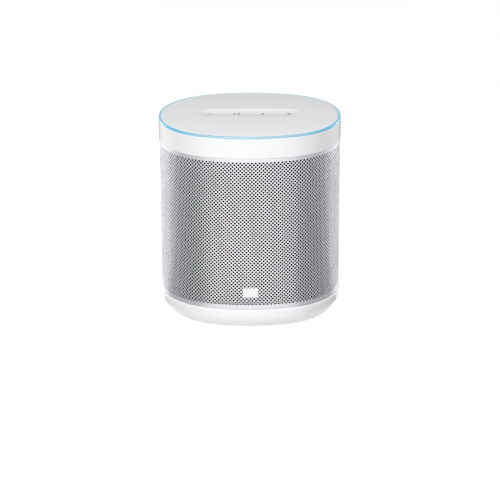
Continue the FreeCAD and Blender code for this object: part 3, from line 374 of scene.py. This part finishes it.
def makeSleeveTree():
    tree = bpy.data.node_groups.new("perforatedSleeve", "GeometryNodeTree")
    tree.is_modifier = True
    inputs = [
        ("Outline", "Object"), ("Hole Diameter", "Float"), ("Column Pitch", "Float"), ("Row Step", "Float"),
        ("Columns", "Int"), ("First Column", "Int"), ("Rows", "Int"), ("Field Start", "Float"),
        ("Field End", "Float"), ("First Row", "Float"), ("Foot", "Float"), ("Top", "Float"), ("Seam", "Float"),
        ("Length", "Float"), ("Inset", "Float"), ("Thickness", "Float"), ("Left Edge", "Bool"),
        ("Right Edge", "Bool"), ("Finish", "Material"),
    ]
    for label, kind in inputs:
        tree.interface.new_socket(label, in_out="INPUT", socket_type="NodeSocket" + kind)
    tree.interface.new_socket("Geometry", in_out="OUTPUT", socket_type="NodeSocketGeometry")
    given = tree.nodes.new("NodeGroupInput").outputs

    def calc(operation, a, b=0.0):
        return joinNode(tree, "ShaderNodeMath", {0: a, 1: b}, operation=operation).outputs[0]

    def point(x, y, z=0.0):
        return joinNode(tree, "ShaderNodeCombineXYZ", {0: x, 1: y, 2: z}).outputs[0]

    sideSteps, weldDistance = sleeveSizes["sideSteps"], sleeveSizes["weld"] * mm
    halfPitch = calc("MULTIPLY", given["Column Pitch"], 0.5)
    rowStep = given["Row Step"]
    place = joinNode(tree, "GeometryNodeInputPosition", {}).outputs[0]
    parts = joinNode(tree, "ShaderNodeSeparateXYZ", {0: place}).outputs

    # one diamond tile with a round hole
    circle = joinNode(tree, "GeometryNodeMeshCircle", {"Vertices": 4 * sideSteps,
                                                       "Radius": calc("MULTIPLY", given["Hole Diameter"], 0.5)})
    grown = joinNode(tree, "GeometryNodeExtrudeMesh", {"Mesh": circle.outputs[0], "Offset Scale": 0.0},
                     mode="EDGES")
    reach = calc("ADD", calc("ABSOLUTE", parts[0]), calc("ABSOLUTE", parts[1]))
    corner = point(calc("DIVIDE", calc("MULTIPLY", parts[0], halfPitch), reach),
                   calc("DIVIDE", calc("MULTIPLY", parts[1], rowStep), reach))
    tile = joinNode(tree, "GeometryNodeSetPosition", {"Geometry": grown.outputs["Mesh"], "Position": corner,
                                                      "Selection": grown.outputs["Top"]}).outputs[0]

    # staggered field of tiles, one point each
    index = joinNode(tree, "GeometryNodeInputIndex", {}).outputs[0]
    row = calc("FLOOR", calc("DIVIDE", calc("ADD", index, sleeveSizes["tileSlack"]), given["Columns"]))
    column = calc("SUBTRACT", index, calc("MULTIPLY", row, given["Columns"]))
    odd = calc("MODULO", row, 2.0)
    along = calc("ADD", calc("ADD", given["First Column"], column), 0.5)
    along = calc("ADD", along, calc("MULTIPLY", odd, 0.5))
    tileS = calc("ADD", given["Field Start"], calc("MULTIPLY", along, given["Column Pitch"]))
    tileZ = calc("ADD", given["First Row"], calc("MULTIPLY", row, rowStep))
    count = calc("MULTIPLY", given["Columns"], given["Rows"])
    spots = joinNode(tree, "GeometryNodePoints", {"Count": count, "Position": point(tileS, tileZ)}).outputs[0]
    fieldLimit = calc("SUBTRACT", given["Field End"], calc("MULTIPLY", halfPitch, 0.5))
    beyond = joinNode(tree, "FunctionNodeCompare", {0: parts[0], 1: fieldLimit}, data_type="FLOAT",
                      operation="GREATER_THAN").outputs[0]
    kept = joinNode(tree, "GeometryNodeDeleteGeometry", {"Geometry": spots, "Selection": beyond},
                    domain="POINT").outputs[0]
    field = joinNode(tree, "GeometryNodeInstanceOnPoints", {"Points": kept, "Instance": tile}).outputs[0]
    field = joinNode(tree, "GeometryNodeRealizeInstances", {"Geometry": field}).outputs[0]

    def eased(walk):
        # moves even steps onto the spacing that a hole's corners throw on the side of its tile
        base = calc("FLOOR", calc("ADD", walk, sleeveSizes["walkSlack"]))
        turn = calc("MULTIPLY", calc("SUBTRACT", walk, base), math.pi / 2)
        rise, run = calc("SINE", turn), calc("COSINE", turn)
        return calc("ADD", base, calc("DIVIDE", rise, calc("ADD", rise, run)))

    def hem(atTop):
        # plain strip above or below the field, with a zigzag edge that meets the tiles
        across = calc("MULTIPLY", given["Columns"], 2.0 * sideSteps)
        sheet = joinNode(tree, "GeometryNodeMeshGrid", {"Size X": 1.0, "Size Y": 1.0, "Vertices Y": 2,
                                                        "Vertices X": calc("ADD", across, 1.0)}).outputs[0]
        walk = eased(calc("MULTIPLY", calc("ADD", parts[0], 0.5), calc("MULTIPLY", given["Columns"], 2.0)))
        firstS = calc("MULTIPLY", given["First Column"], given["Column Pitch"])
        s = calc("ADD", given["Field Start"], calc("ADD", firstS, calc("MULTIPLY", walk, halfPitch)))
        dip = calc("MULTIPLY", calc("PINGPONG", walk, 1.0), rowStep)
        if atTop:
            steps = calc("SUBTRACT", given["Rows"], 1.0)
            last = calc("ADD", given["First Row"], calc("MULTIPLY", steps, rowStep))
            inner, outer = calc("ADD", last, dip), given["Top"]
        else:
            inner, outer = calc("SUBTRACT", given["First Row"], dip), given["Foot"]
        share = calc("ADD", parts[1], 0.5)
        z = calc("ADD", calc("MULTIPLY", inner, calc("SUBTRACT", 1.0, share)), calc("MULTIPLY", outer, share))
        made = joinNode(tree, "GeometryNodeSetPosition", {"Geometry": sheet,
                                                          "Position": point(s, z)}).outputs[0]
        return made if atTop else joinNode(tree, "GeometryNodeFlipFaces", {"Mesh": made}).outputs[0]

    def seamStrip(mirrored, wanted):
        # plain upright strip beside the seam, from the foot to the top
        steps = calc("MULTIPLY", calc("SUBTRACT", given["Rows"], 1.0), float(sideSteps))
        last = calc("ADD", steps, 2.0)
        sheet = joinNode(tree, "GeometryNodeMeshGrid", {"Size X": 1.0, "Size Y": 1.0, "Vertices X": 2,
                                                        "Vertices Y": calc("ADD", last, 1.0)}).outputs[0]
        step = calc("ROUND", calc("MULTIPLY", calc("ADD", parts[1], 0.5), last))
        inside = calc("MINIMUM", calc("MAXIMUM", calc("SUBTRACT", step, 1.0), 0.0), steps)
        walk = eased(calc("DIVIDE", inside, float(sideSteps)))
        z = calc("ADD", given["First Row"], calc("MULTIPLY", walk, rowStep))
        atFoot = calc("LESS_THAN", step, 0.5)
        atTop = calc("GREATER_THAN", step, calc("SUBTRACT", last, 0.5))
        z = calc("ADD", z, calc("MULTIPLY", atFoot, calc("SUBTRACT", given["Foot"], z)))
        z = calc("ADD", z, calc("MULTIPLY", atTop, calc("SUBTRACT", given["Top"], z)))
        far = calc("ADD", given["Field Start"], calc("MULTIPLY", calc("PINGPONG", walk, 1.0), halfPitch))
        near = calc("MULTIPLY", given["Seam"], 0.5)
        s = calc("ADD", near, calc("MULTIPLY", calc("ADD", parts[0], 0.5), calc("SUBTRACT", far, near)))
        if mirrored:
            s = calc("SUBTRACT", given["Length"], s)
        made = joinNode(tree, "GeometryNodeSetPosition", {"Geometry": sheet,
                                                          "Position": point(s, z)}).outputs[0]
        if mirrored:
            made = joinNode(tree, "GeometryNodeFlipFaces", {"Mesh": made}).outputs[0]
        chosen = joinNode(tree, "GeometryNodeSwitch", {"Switch": wanted, "True": made}, input_type="GEOMETRY")
        return chosen.outputs[0]

    flat = tree.nodes.new("GeometryNodeJoinGeometry")
    strips = [hem(False), hem(True), seamStrip(False, given["Left Edge"]), seamStrip(True, given["Right Edge"])]
    for made in [field] + strips:
        tree.links.new(made, flat.inputs[0])
    weld = joinNode(tree, "GeometryNodeMergeByDistance", {"Geometry": flat.outputs[0],
                                                          "Distance": weldDistance}).outputs[0]
    wall = joinNode(tree, "GeometryNodeExtrudeMesh", {"Mesh": weld, "Offset": (0, 0, 1), "Individual": False,
                                                      "Offset Scale": given["Thickness"]},
                    mode="FACES").outputs[0]
    both = tree.nodes.new("GeometryNodeJoinGeometry")
    tree.links.new(wall, both.inputs[0])
    tree.links.new(weld, both.inputs[0])
    solid = joinNode(tree, "GeometryNodeMergeByDistance", {"Geometry": both.outputs[0],
                                                           "Distance": weldDistance}).outputs[0]

    # wrap the flat sheet round the oval
    line = joinNode(tree, "GeometryNodeObjectInfo", {"Object": given["Outline"]}).outputs["Geometry"]
    sample = joinNode(tree, "GeometryNodeSampleCurve", {"Curves": line, "Length": parts[0]}, mode="LENGTH")
    spot = joinNode(tree, "ShaderNodeSeparateXYZ", {0: sample.outputs["Position"]}).outputs
    way = joinNode(tree, "ShaderNodeSeparateXYZ", {0: sample.outputs["Tangent"]}).outputs
    depth = calc("ADD", given["Inset"], parts[2])
    wrapped = point(calc("SUBTRACT", spot[0], calc("MULTIPLY", way[1], depth)),
                    calc("ADD", spot[1], calc("MULTIPLY", way[0], depth)), parts[1])
    bent = joinNode(tree, "GeometryNodeSetPosition", {"Geometry": solid, "Position": wrapped}).outputs[0]
    real = joinNode(tree, "GeometryNodeRealizeInstances", {"Geometry": bent}).outputs[0]
    coated = joinNode(tree, "GeometryNodeSetMaterial", {"Geometry": real,
                                                        "Material": given["Finish"]}).outputs[0]
    tree.links.new(coated, tree.nodes.new("NodeGroupOutput").inputs[0])
    return tree


def bake(tree, name, values):
    # runs a tree once and leaves a plain mesh
    host = addThing(name + "Host", bpy.data.meshes.new(name + "Host"))
    run = host.modifiers.new("run", "NODES")
    run.node_group = tree
    for item in tree.interface.items_tree:
        if item.in_out == "INPUT" and item.name in values:
            run[item.identifier] = values[item.name]
    bpy.context.view_layer.update()
    graph = bpy.context.evaluated_depsgraph_get()
    mesh = bpy.data.meshes.new_from_object(host.evaluated_get(graph))
    host.modifiers.remove(run)
    bpy.data.objects.remove(host)
    mesh.name = name
    work = bmesh.new()
    work.from_mesh(mesh)
    bmesh.ops.recalc_face_normals(work, faces=work.faces)
    opened = sum(1 for e in work.edges if len(e.link_faces) != 2)
    triangles = sum(len(f.verts) - 2 for f in work.faces)
    work.to_mesh(mesh)
    work.free()
    print("baked", name, triangles, "triangles", opened, "open edges")
    return mesh


def makeSleeve():
    sizes = sleeveSizes
    outline = makeOutlineCurve()
    tree = makeSleeveTree()
    low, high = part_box("grille")
    foot, top = low.z + sizes["footGap"] * mm, high.z
    fieldFoot, fieldTop = low.z + sizes["hemBottom"] * mm, high.z - sizes["hemTop"] * mm
    start = sizes["seamGap"] / 2 + sizes["seamMargin"]
    columns = sizes["bands"][-1]
    pitch = (ovalLength - 2 * start) / columns
    rows = round((fieldTop - fieldFoot) / (sizes["pitch"] * mm / 2)) - 1
    rows -= 1 - rows % 2  # odd, so that both edges of the field have the same zigzag
    step = (fieldTop - fieldFoot) / (rows + 1)
    print("sleeve", columns, "columns", rows, "rows, pitch", round(pitch, 3), "row step", round(step / mm, 3))
    for k, (first, last) in enumerate(zip(sizes["bands"], sizes["bands"][1:])):
        name = "sleeve" + str(k + 1)
        mesh = bake(tree, name, {
            "Outline": outline, "Hole Diameter": sizes["holeDiameter"] * mm, "Column Pitch": pitch * mm,
            "Row Step": step, "Columns": last - first, "First Column": first, "Rows": rows,
            "Field Start": start * mm, "Field End": (ovalLength - start) * mm, "First Row": fieldFoot + step,
            "Foot": foot, "Top": top, "Seam": sizes["seamGap"] * mm,
            "Length": ovalLength * mm, "Inset": sizes["inset"] * mm, "Thickness": sizes["thickness"] * mm,
            "Left Edge": first == 0, "Right Edge": last == columns, "Finish": finishes["white_metal"],
        })
        mesh.shade_smooth()
        mesh.set_sharp_from_angle(angle=math.radians(creaseAngles["sleeve"]))
        piece = addThing(name, mesh)
        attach(piece, "housing")
        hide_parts("grille")
    bpy.data.objects.remove(outline)


makeSleeve()
print("stage: sleeve")

coverSizes = {
    "inset": 2.3, "rim": 149.5, "crown": 151.0, "flatInset": 40.0, "wall": 2.2, "around": 288,
    "keys": 4, "keyPitch": 18.9, "scoopHalfWidth": 8.0, "scoopDepth": 1.2,
    "scoopLimit": 1.6,  # half widths, beyond which the cover is plain
    "softness": 0.0875,
    "micY": 34.2, "micHole": 0.6, "micDrill": 12.0, "micSides": 24,
    "underMiddle": 0.5,  # the one loop across the underside
    "straightShare": 0.5,  # of each quarter of a loop round the scoop; the rest turns its end
    # loops of the upper face: in from the rim, across to the scoop, and over it as shares of its half width
    "rimLoops": (0.35, 1.2, 3.0, 6.0, 9.0, 12.0),
    "middleLoops": (0.12, 0.25, 0.38, 0.5, 0.62, 0.74, 0.85, 0.93),
    "scoopLoops": (1.35, 1.2, 1.1, 1.05, 1.02, 0.99, 0.96, 0.92, 0.85, 0.72, 0.55, 0.36, 0.18, 0.05),
    # loops down the side: in from the rim's outline and down from its top
    "sideLoops": ((0.12, 0.06), (0.0, 0.35), (0.0, 1.2), (0.35, 2.2)),
}


def scoopReach():
    # from the middle to the outermost key, where the scoop's round end begins
    return (coverSizes["keys"] - 1) / 2 * coverSizes["keyPitch"]


def crownLevel(inset):
    # height of the plain crowned cover, this far in from the outline
    s = coverSizes
    border, rise = s["flatInset"] - s["inset"], s["crown"] - s["rim"]
    radius = (border ** 2 + rise ** 2) / (2 * rise)
    away = max(0.0, s["flatInset"] - inset)
    return s["crown"] - radius + math.sqrt(radius ** 2 - away ** 2)


def coverLevel(x, y):
    # height of the cover with its scoop, blended softly where the two meet
    s = coverSizes
    away = math.hypot(max(0.0, abs(x) - scoopReach()), y)
    radius = (s["scoopHalfWidth"] ** 2 + s["scoopDepth"] ** 2) / (2 * s["scoopDepth"])
    plain = crownLevel(insetAt(x, y))
    if away > s["scoopLimit"] * s["scoopHalfWidth"]:
        return plain
    hollow = s["crown"] + radius - s["scoopDepth"] - math.sqrt(radius ** 2 - away ** 2)
    return (plain + hollow) / 2 - math.sqrt(((plain - hollow) / 2) ** 2 + s["softness"] ** 2)


def makeCover():
    s = coverSizes
    count = s["around"]
    reach, half = scoopReach(), s["scoopHalfWidth"]

    def stadium(share, away):
        # share from the middle of the back, matched to the oval's
        straight = s["straightShare"]
        quarter = (share * 4) % 1.0
        turn = int(share * 4) % 4
        t = quarter if turn in (0, 2) else 1 - quarter
        if t < straight:
            x, y = reach * t / straight, away
        else:
            angle = math.pi / 2 * (1 - (t - straight) / (1 - straight))
            x, y = reach + away * math.cos(angle), away * math.sin(angle)
        left = turn in (0, 1)
        back = turn in (0, 3)
        return (-x if left else x), (y if back else -y)

    work = bmesh.new()

    def loopAt(place):
        return [work.verts.new([c * mm for c in place(k / count)]) for k in range(count)]

    def onOval(inset, drop):
        def place(share):
            x, y, _, _ = ovalPoint(share, inset)
            return x, y, coverLevel(x, y) - drop
        return place

    def between(inset, away, mix, drop):
        def place(share):
            ax, ay, _, _ = ovalPoint(share, inset)
            bx, by = stadium(share, away)
            x, y = ax + (bx - ax) * mix, ay + (by - ay) * mix
            return x, y, coverLevel(x, y) - drop
        return place

    rimLoops, middleLoops, scoopLoops = s["rimLoops"], s["middleLoops"], s["scoopLoops"]

    def surface(drop, rimParts, middleParts, scoopParts):
        made = [loopAt(onOval(s["inset"] + e, drop)) for e in rimParts]
        made += [loopAt(between(s["inset"] + rimLoops[-1], half * scoopLoops[0], m, drop)) for m in middleParts]
        return made + [loopAt(between(0, half * w, 1.0, drop)) for w in scoopParts]

    top = surface(0.0, rimLoops, middleLoops, scoopLoops)
    under = surface(s["wall"], rimLoops[:1], (s["underMiddle"],), (scoopLoops[0], scoopLoops[-1]))
    side = [loopAt(lambda share, e=e, down=down: (*ovalPoint(share, s["inset"] + e)[:2], s["rim"] - down))
            for e, down in s["sideLoops"]]
    loops = list(reversed(top)) + side + under
    for a, b in zip(loops, loops[1:]):
        for k in range(count):
            n = (k + 1) % count
            work.faces.new((a[k], a[n], b[n], b[k]))
    for last in (loops[0], loops[-1]):
        # close the slot that is left round the middle line
        for k in range(count // 2):
            a, b = k, (count - k) % count
            c, d = k + 1, (count - k - 1) % count
            loop = []
            for i in (a, c, d, b):
                if last[i] not in loop:
                    loop.append(last[i])
            if len(loop) > 2:
                work.faces.new(loop)
    bmesh.ops.remove_doubles(work, verts=work.verts, dist=weldGaps["cover"])
    bmesh.ops.recalc_face_normals(work, faces=work.faces)
    print("cover open edges", sum(1 for e in work.edges if len(e.link_faces) != 2))
    piece = addThing("cover", toMesh(work, "cover"))
    for sign in (-1, 1):
        tool = bmesh.new()
        bmesh.ops.create_cone(tool, cap_ends=True, segments=s["micSides"], radius1=s["micHole"] * mm,
                              radius2=s["micHole"] * mm, depth=s["micDrill"] * mm,
                              matrix=Matrix.Translation((0, sign * s["micY"] * mm, s["crown"] * mm)))
        cutter = addThing("micCut", toMesh(tool, "micCut"))
        cut = piece.modifiers.new("cut", "BOOLEAN")
        cut.operation, cut.solver, cut.object = "DIFFERENCE", "EXACT", cutter
        graph = bpy.context.evaluated_depsgraph_get()
        bored = bpy.data.meshes.new_from_object(piece.evaluated_get(graph))
        piece.modifiers.clear()
        piece.data = bored
        bpy.data.objects.remove(cutter)
    piece.data.materials.clear()
    piece.data.materials.append(finishes["cover_plastic"])
    piece.data.shade_smooth()
    piece.data.set_sharp_from_angle(angle=math.radians(creaseAngles["cover"]))
    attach(piece, "housing")
    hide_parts("top_cover")


makeCover()
print("stage: cover")

iconSizes = {
    "bar": 4.2, "line": 0.7, "deep": 1.1, "tall": 4.0, "lift": 0.05, "steps": 16,
    "play": (-2.4, 0.3), "pause": (1.1, 2.2),  # across, from the key's middle
    "micRadius": 0.75, "micTop": 0.9, "micFoot": -0.2, "micCradle": (1.3, 1.65),
    "stemAt": -2.0, "stemWide": 0.35, "stemTall": 0.7,
}


def makeIcons():
    # thin prints in the scoop: minus, play and pause, microphone, plus
    s = iconSizes
    work = bmesh.new()

    def drape(outline):
        verts = [work.verts.new((x * mm, y * mm, (coverLevel(x, y) + s["lift"]) * mm)) for x, y in outline]
        work.faces.new(verts)

    def bar(x, y, wide, deep, parts=6):
        xs = [x - wide / 2 + wide * k / parts for k in range(parts + 1)]
        ys = [y - deep / 2 + deep * k / parts for k in range(parts + 1)]
        grid = [[work.verts.new((a * mm, b * mm, (coverLevel(a, b) + s["lift"]) * mm)) for b in ys] for a in xs]
        for i in range(parts):
            for j in range(parts):
                work.faces.new((grid[i][j], grid[i + 1][j], grid[i + 1][j + 1], grid[i][j + 1]))

    keys = [k * coverSizes["keyPitch"] - scoopReach() for k in range(coverSizes["keys"])]
    line, wide, tall = s["line"], s["bar"], s["tall"]
    bar(keys[0], 0, wide, s["deep"])
    back, point = s["play"]
    drape([(keys[1] + back, tall / 2), (keys[1] + back, -tall / 2), (keys[1] + point, 0)])
    for place in s["pause"]:
        bar(keys[1] + place, 0, line, tall)
    steps, r = s["steps"], s["micRadius"]
    upper = [math.pi * k / steps for k in range(steps + 1)]
    lower = [math.pi + a for a in upper]
    drape([(keys[2] + r * math.cos(a), s["micTop"] + r * math.sin(a)) for a in upper]
          + [(keys[2] + r * math.cos(a), s["micFoot"] + r * math.sin(a)) for a in lower])
    inner, outer = s["micCradle"]
    for a, b in zip(lower, lower[1:]):
        corners = ((inner, a), (inner, b), (outer, b), (outer, a))
        drape([(keys[2] + r * math.cos(t), r * math.sin(t)) for r, t in corners])
    bar(keys[2], s["stemAt"], s["stemWide"], s["stemTall"], 2)
    bar(keys[3], 0, wide, s["deep"])
    for side in (-1, 1):
        bar(keys[3], side * (tall + s["deep"]) / 4, line, (tall - s["deep"]) / 2)
    bmesh.ops.recalc_face_normals(work, faces=work.faces)
    for face in work.faces:
        if face.normal.z < 0:
            face.normal_flip()
    mesh = toMesh(work, "keyIcons")
    mesh.materials.append(iconInk)
    piece = addThing("keyIcons", mesh)
    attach(piece, "housing")


makeIcons()
print("stage: icons")

sectorSizes = {"sectors": 24, "perSector": 6}


def softSectors(node, material, profileOf):
    # each sector is the section swept through its own slice of the circle, from the basket to the moving cone
    low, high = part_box(node)
    centre = (low + high) / 2
    section, inner, outer = profileOf(low, high)
    count, per = sectorSizes["sectors"], sectorSizes["perSector"]
    for k in range(count):
        work = bmesh.new()
        loops = []
        for j in range(per + 1):
            a = 2 * math.pi * (k + j / per) / count
            x, z = math.cos(a), math.sin(a)
            loops.append([work.verts.new((centre.x + r * x, y, centre.z + r * z)) for r, y in section])
        size = len(section)
        for a, b in zip(loops, loops[1:]):
            for i in range(size):
                n = (i + 1) % size
                work.faces.new((a[i], a[n], b[n], b[i]))
        work.faces.new(loops[0])
        work.faces.new(list(reversed(loops[-1])))
        bmesh.ops.recalc_face_normals(work, faces=work.faces)
        made = toMesh(work, node + str(k))
        made.materials.append(finishes[material])
        made.shade_smooth()
        made.set_sharp_from_angle(angle=math.radians(creaseAngles["driver"]))
        piece = addThing(node + "Sector" + str(k + 1), made)
        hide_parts(node)
        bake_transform(piece)


rollSizes = {"coneEdge": 24.2, "coneLip": 1.6, "roll": 2.5, "lap": 0.4, "sheet": 0.5, "steps": 12}


def rollProfile(low, high):
    # half roll of the surround, with its lip on the basket and its lip under the cone
    s = rollSizes
    lip = (high.x - low.x) / 2
    back = high.y
    front = back - s["sheet"] * mm
    middle = (s["coneEdge"] + s["roll"] - s["lap"]) * mm
    r, thin = s["roll"] * mm, (s["roll"] - s["sheet"]) * mm
    start = (s["coneEdge"] - s["coneLip"]) * mm
    turns = [math.pi * k / s["steps"] for k in range(s["steps"] + 1)]
    outerArc = [(middle + r * math.cos(a), front - r * math.sin(a)) for a in turns]
    innerArc = [(middle - thin * math.cos(a), back - thin * math.sin(a)) for a in turns]
    section = [(lip, back), (lip, front)] + outerArc + [(start, front), (start, back)] + innerArc
    return section, middle - r, middle + r


spiderSizes = {"coil": 10.1, "start": 17.6, "waves": 3, "wave": 1.2, "sheet": 0.4}


def spiderProfile(low, high):
    # waved cloth ring from its seat on the basket in to the voice coil
    s = spiderSizes
    outer = (high.x - low.x) / 2
    seat = high.y
    step = (s["start"] - s["coil"]) / (2 * s["waves"] + 1)
    back = [(outer, seat), (s["start"] * mm, seat)]
    for k in range(1, 2 * s["waves"] + 1):
        back.append(((s["start"] - k * step) * mm, seat - (s["wave"] * mm if k % 2 else 0)))
    back.append((s["coil"] * mm, seat - s["wave"] * mm / 2))
    section = back + [(r, y - s["sheet"] * mm) for r, y in reversed(back)]
    return section, s["coil"] * mm, s["start"] * mm


softSectors("surround", "black_rubber", rollProfile)
softSectors("spider", "spider_cloth", spiderProfile)
print("stage: driver")


def seenDirectly(tree):
    # 1 for what the camera, a reflection or clear plastic shows, 0 for what lights the object
    path = joinNode(tree, "ShaderNodeLightPath", {})
    first = joinNode(tree, "ShaderNodeMath", {0: path.outputs["Is Camera Ray"],
                                              1: path.outputs["Is Glossy Ray"]}, operation="MAXIMUM")
    return joinNode(tree, "ShaderNodeMath", {0: first.outputs[0], 1: path.outputs["Is Transmission Ray"]},
                    operation="MAXIMUM").outputs[0]


# near and far are the floor's colour close to the object and away from it; the lighter floor round the object
# is a painted pool of light
stageSizes = {"floor": 8.0, "near": 0.7, "far": 0.42, "spread": (0.12, 0.3), "rough": 0.9, "specular": 0.1,
              "floorLift": 0.74, "world": 0.14, "parts": 8}


def makeStage():
    s = stageSizes
    work = bmesh.new()
    bmesh.ops.create_grid(work, x_segments=s["parts"], y_segments=s["parts"], size=s["floor"] / 2)
    mesh = toMesh(work, "floor")
    floor = addThing("floor", mesh)
    finish = bpy.data.materials.new("floorPaper")
    finish.use_nodes = True
    tree = finish.node_tree
    shader = tree.nodes["Principled BSDF"]
    # the floor is painted lightest round the object, a painted pool of light that throws more light up onto the
    # base
    place = joinNode(tree, "ShaderNodeTexCoord", {})
    away = joinNode(tree, "ShaderNodeVectorMath", {0: place.outputs["Object"]}, operation="LENGTH")
    shade = joinNode(tree, "ShaderNodeMapRange", {"Value": away.outputs["Value"],
                                                  "From Min": s["spread"][0], "From Max": s["spread"][1],
                                                  "To Min": s["near"], "To Max": s["far"]})
    tree.links.new(shade.outputs[0], shader.inputs["Base Color"])
    shader.inputs["Roughness"].default_value = s["rough"]
    shader.inputs["Specular IOR Level"].default_value = s["specular"]
    glow = joinNode(tree, "ShaderNodeMath", {0: seenDirectly(tree), 1: s["floorLift"]}, operation="MULTIPLY")
    shader.inputs["Emission Color"].default_value = (1, 1, 1, 1)
    tree.links.new(glow.outputs[0], shader.inputs["Emission Strength"])
    mesh.materials.append(finish)
    world = bpy.data.worlds.new("studio")
    bpy.context.scene.world = world
    world.use_nodes = True
    tree = world.node_tree
    background = tree.nodes["Background"]
    background.inputs["Color"].default_value = (1, 1, 1, 1)
    level = joinNode(tree, "ShaderNodeMapRange", {"Value": seenDirectly(tree), "To Min": s["world"],
                                                  "To Max": 1.0})
    tree.links.new(level.outputs[0], background.inputs["Strength"])


# cards that only reflections show: dark ones beside and behind the body and a pale one in front, which the
# metal shows as soft upright bands; angles in degrees from the front, lengths in metres
flagSizes = {
    "flagLeft": {"from": -95.0, "to": -35.0, "reach": 0.6, "colour": 0.06},
    "flagRight": {"from": 35.0, "to": 95.0, "reach": 0.6, "colour": 0.06},
    "flagFront": {"from": -34.0, "to": 34.0, "reach": 0.13, "colour": 0.85},
    "flagBackLeft": {"from": -178.0, "to": -143.0, "reach": 0.6, "colour": 0.1},
    "flagBackRight": {"from": 143.0, "to": 178.0, "reach": 0.6, "colour": 0.1},
    "flagLowLeft": {"from": -143.0, "to": -122.0, "reach": 0.17, "colour": 0.1},
    "flagLowRight": {"from": 122.0, "to": 143.0, "reach": 0.17, "colour": 0.1},
}
flagShape = {"edge": 0.0695, "height": 0.0006, "steps": 24}


def makeFlags():
    for name, s in flagSizes.items():
        work = bmesh.new()
        rows = []
        for k in range(flagShape["steps"] + 1):
            angle = math.radians(s["from"] + (s["to"] - s["from"]) * k / flagShape["steps"])
            x, y = math.sin(angle), -math.cos(angle)
            reaches = (flagShape["edge"], s["reach"])
            rows.append([work.verts.new((x * r, y * r, flagShape["height"])) for r in reaches])
        for first, second in zip(rows, rows[1:]):
            work.faces.new((first[0], first[1], second[1], second[0]))
        mesh = toMesh(work, name)
        mesh.materials.append(makeFinish(name + "Cloth", (s["colour"],) * 3, 0.9, grain=0.8, depth=0.2,
                                         mottle=0.1))
        flag = addThing(name, mesh)
        flag.visible_camera = flag.visible_diffuse = flag.visible_shadow = flag.visible_transmission = False


lampSizes = {
    "key": {"at": (-0.22, -1.62, 1.2), "wide": 0.9, "tall": 0.9, "power": 38.0},
    "rimLeft": {"at": (-1.15, 0.96, 0.08), "wide": 0.6, "tall": 0.13, "power": 13.0},
    "rimRight": {"at": (1.15, 0.96, 0.08), "wide": 0.6, "tall": 0.13, "power": 11.0},
    "top": {"at": (0.0, -0.3, 1.8), "wide": 1.2, "tall": 1.2, "power": 6.0},
}
lampAim = (0, 0, 0.08)


def makeLamps():
    for name, s in lampSizes.items():
        data = bpy.data.lights.new(name, "AREA")
        data.shape = "RECTANGLE"
        data.size, data.size_y = s["wide"], s["tall"]
        data.energy = s["power"]
        lamp = addThing(name, data)
        lamp.location = s["at"]
        lamp.visible_camera = False
        lamp.rotation_euler = (Vector(lampAim) - Vector(s["at"])).to_track_quat("-Z", "Y").to_euler()


cameraSizes = {"distance": 1.833, "elevation": 20.36, "target": (-0.0002, 0, 0.0755), "lens": 180.65,
               "sensor": 36.0, "droop": 0.898, "roll": -0.25, "clip": (0.05, 50),
               "filter": 1.15}


def makeCamera():
    s = cameraSizes
    data = bpy.data.cameras.new("view")
    data.lens, data.sensor_width = s["lens"], s["sensor"]
    data.clip_start, data.clip_end = s["clip"]
    camera = addThing("view", data)
    e = math.radians(s["elevation"])
    target = Vector(s["target"])
    camera.location = target + s["distance"] * Vector((0, -math.cos(e), math.sin(e)))
    tilt = math.radians(90 - s["elevation"] - s["droop"])
    turn = Matrix.Rotation(tilt, 4, "X") @ Matrix.Rotation(math.radians(s["roll"]), 4, "Z")
    camera.rotation_euler = turn.to_euler()
    bpy.context.scene.camera = camera


makeStage()
makeFlags()
makeLamps()
makeCamera()
bpy.context.scene.view_settings.view_transform = "Standard"
bpy.context.scene.cycles.filter_width = cameraSizes["filter"]  # keeps the small holes crisp
print("stage: floor, light and camera")
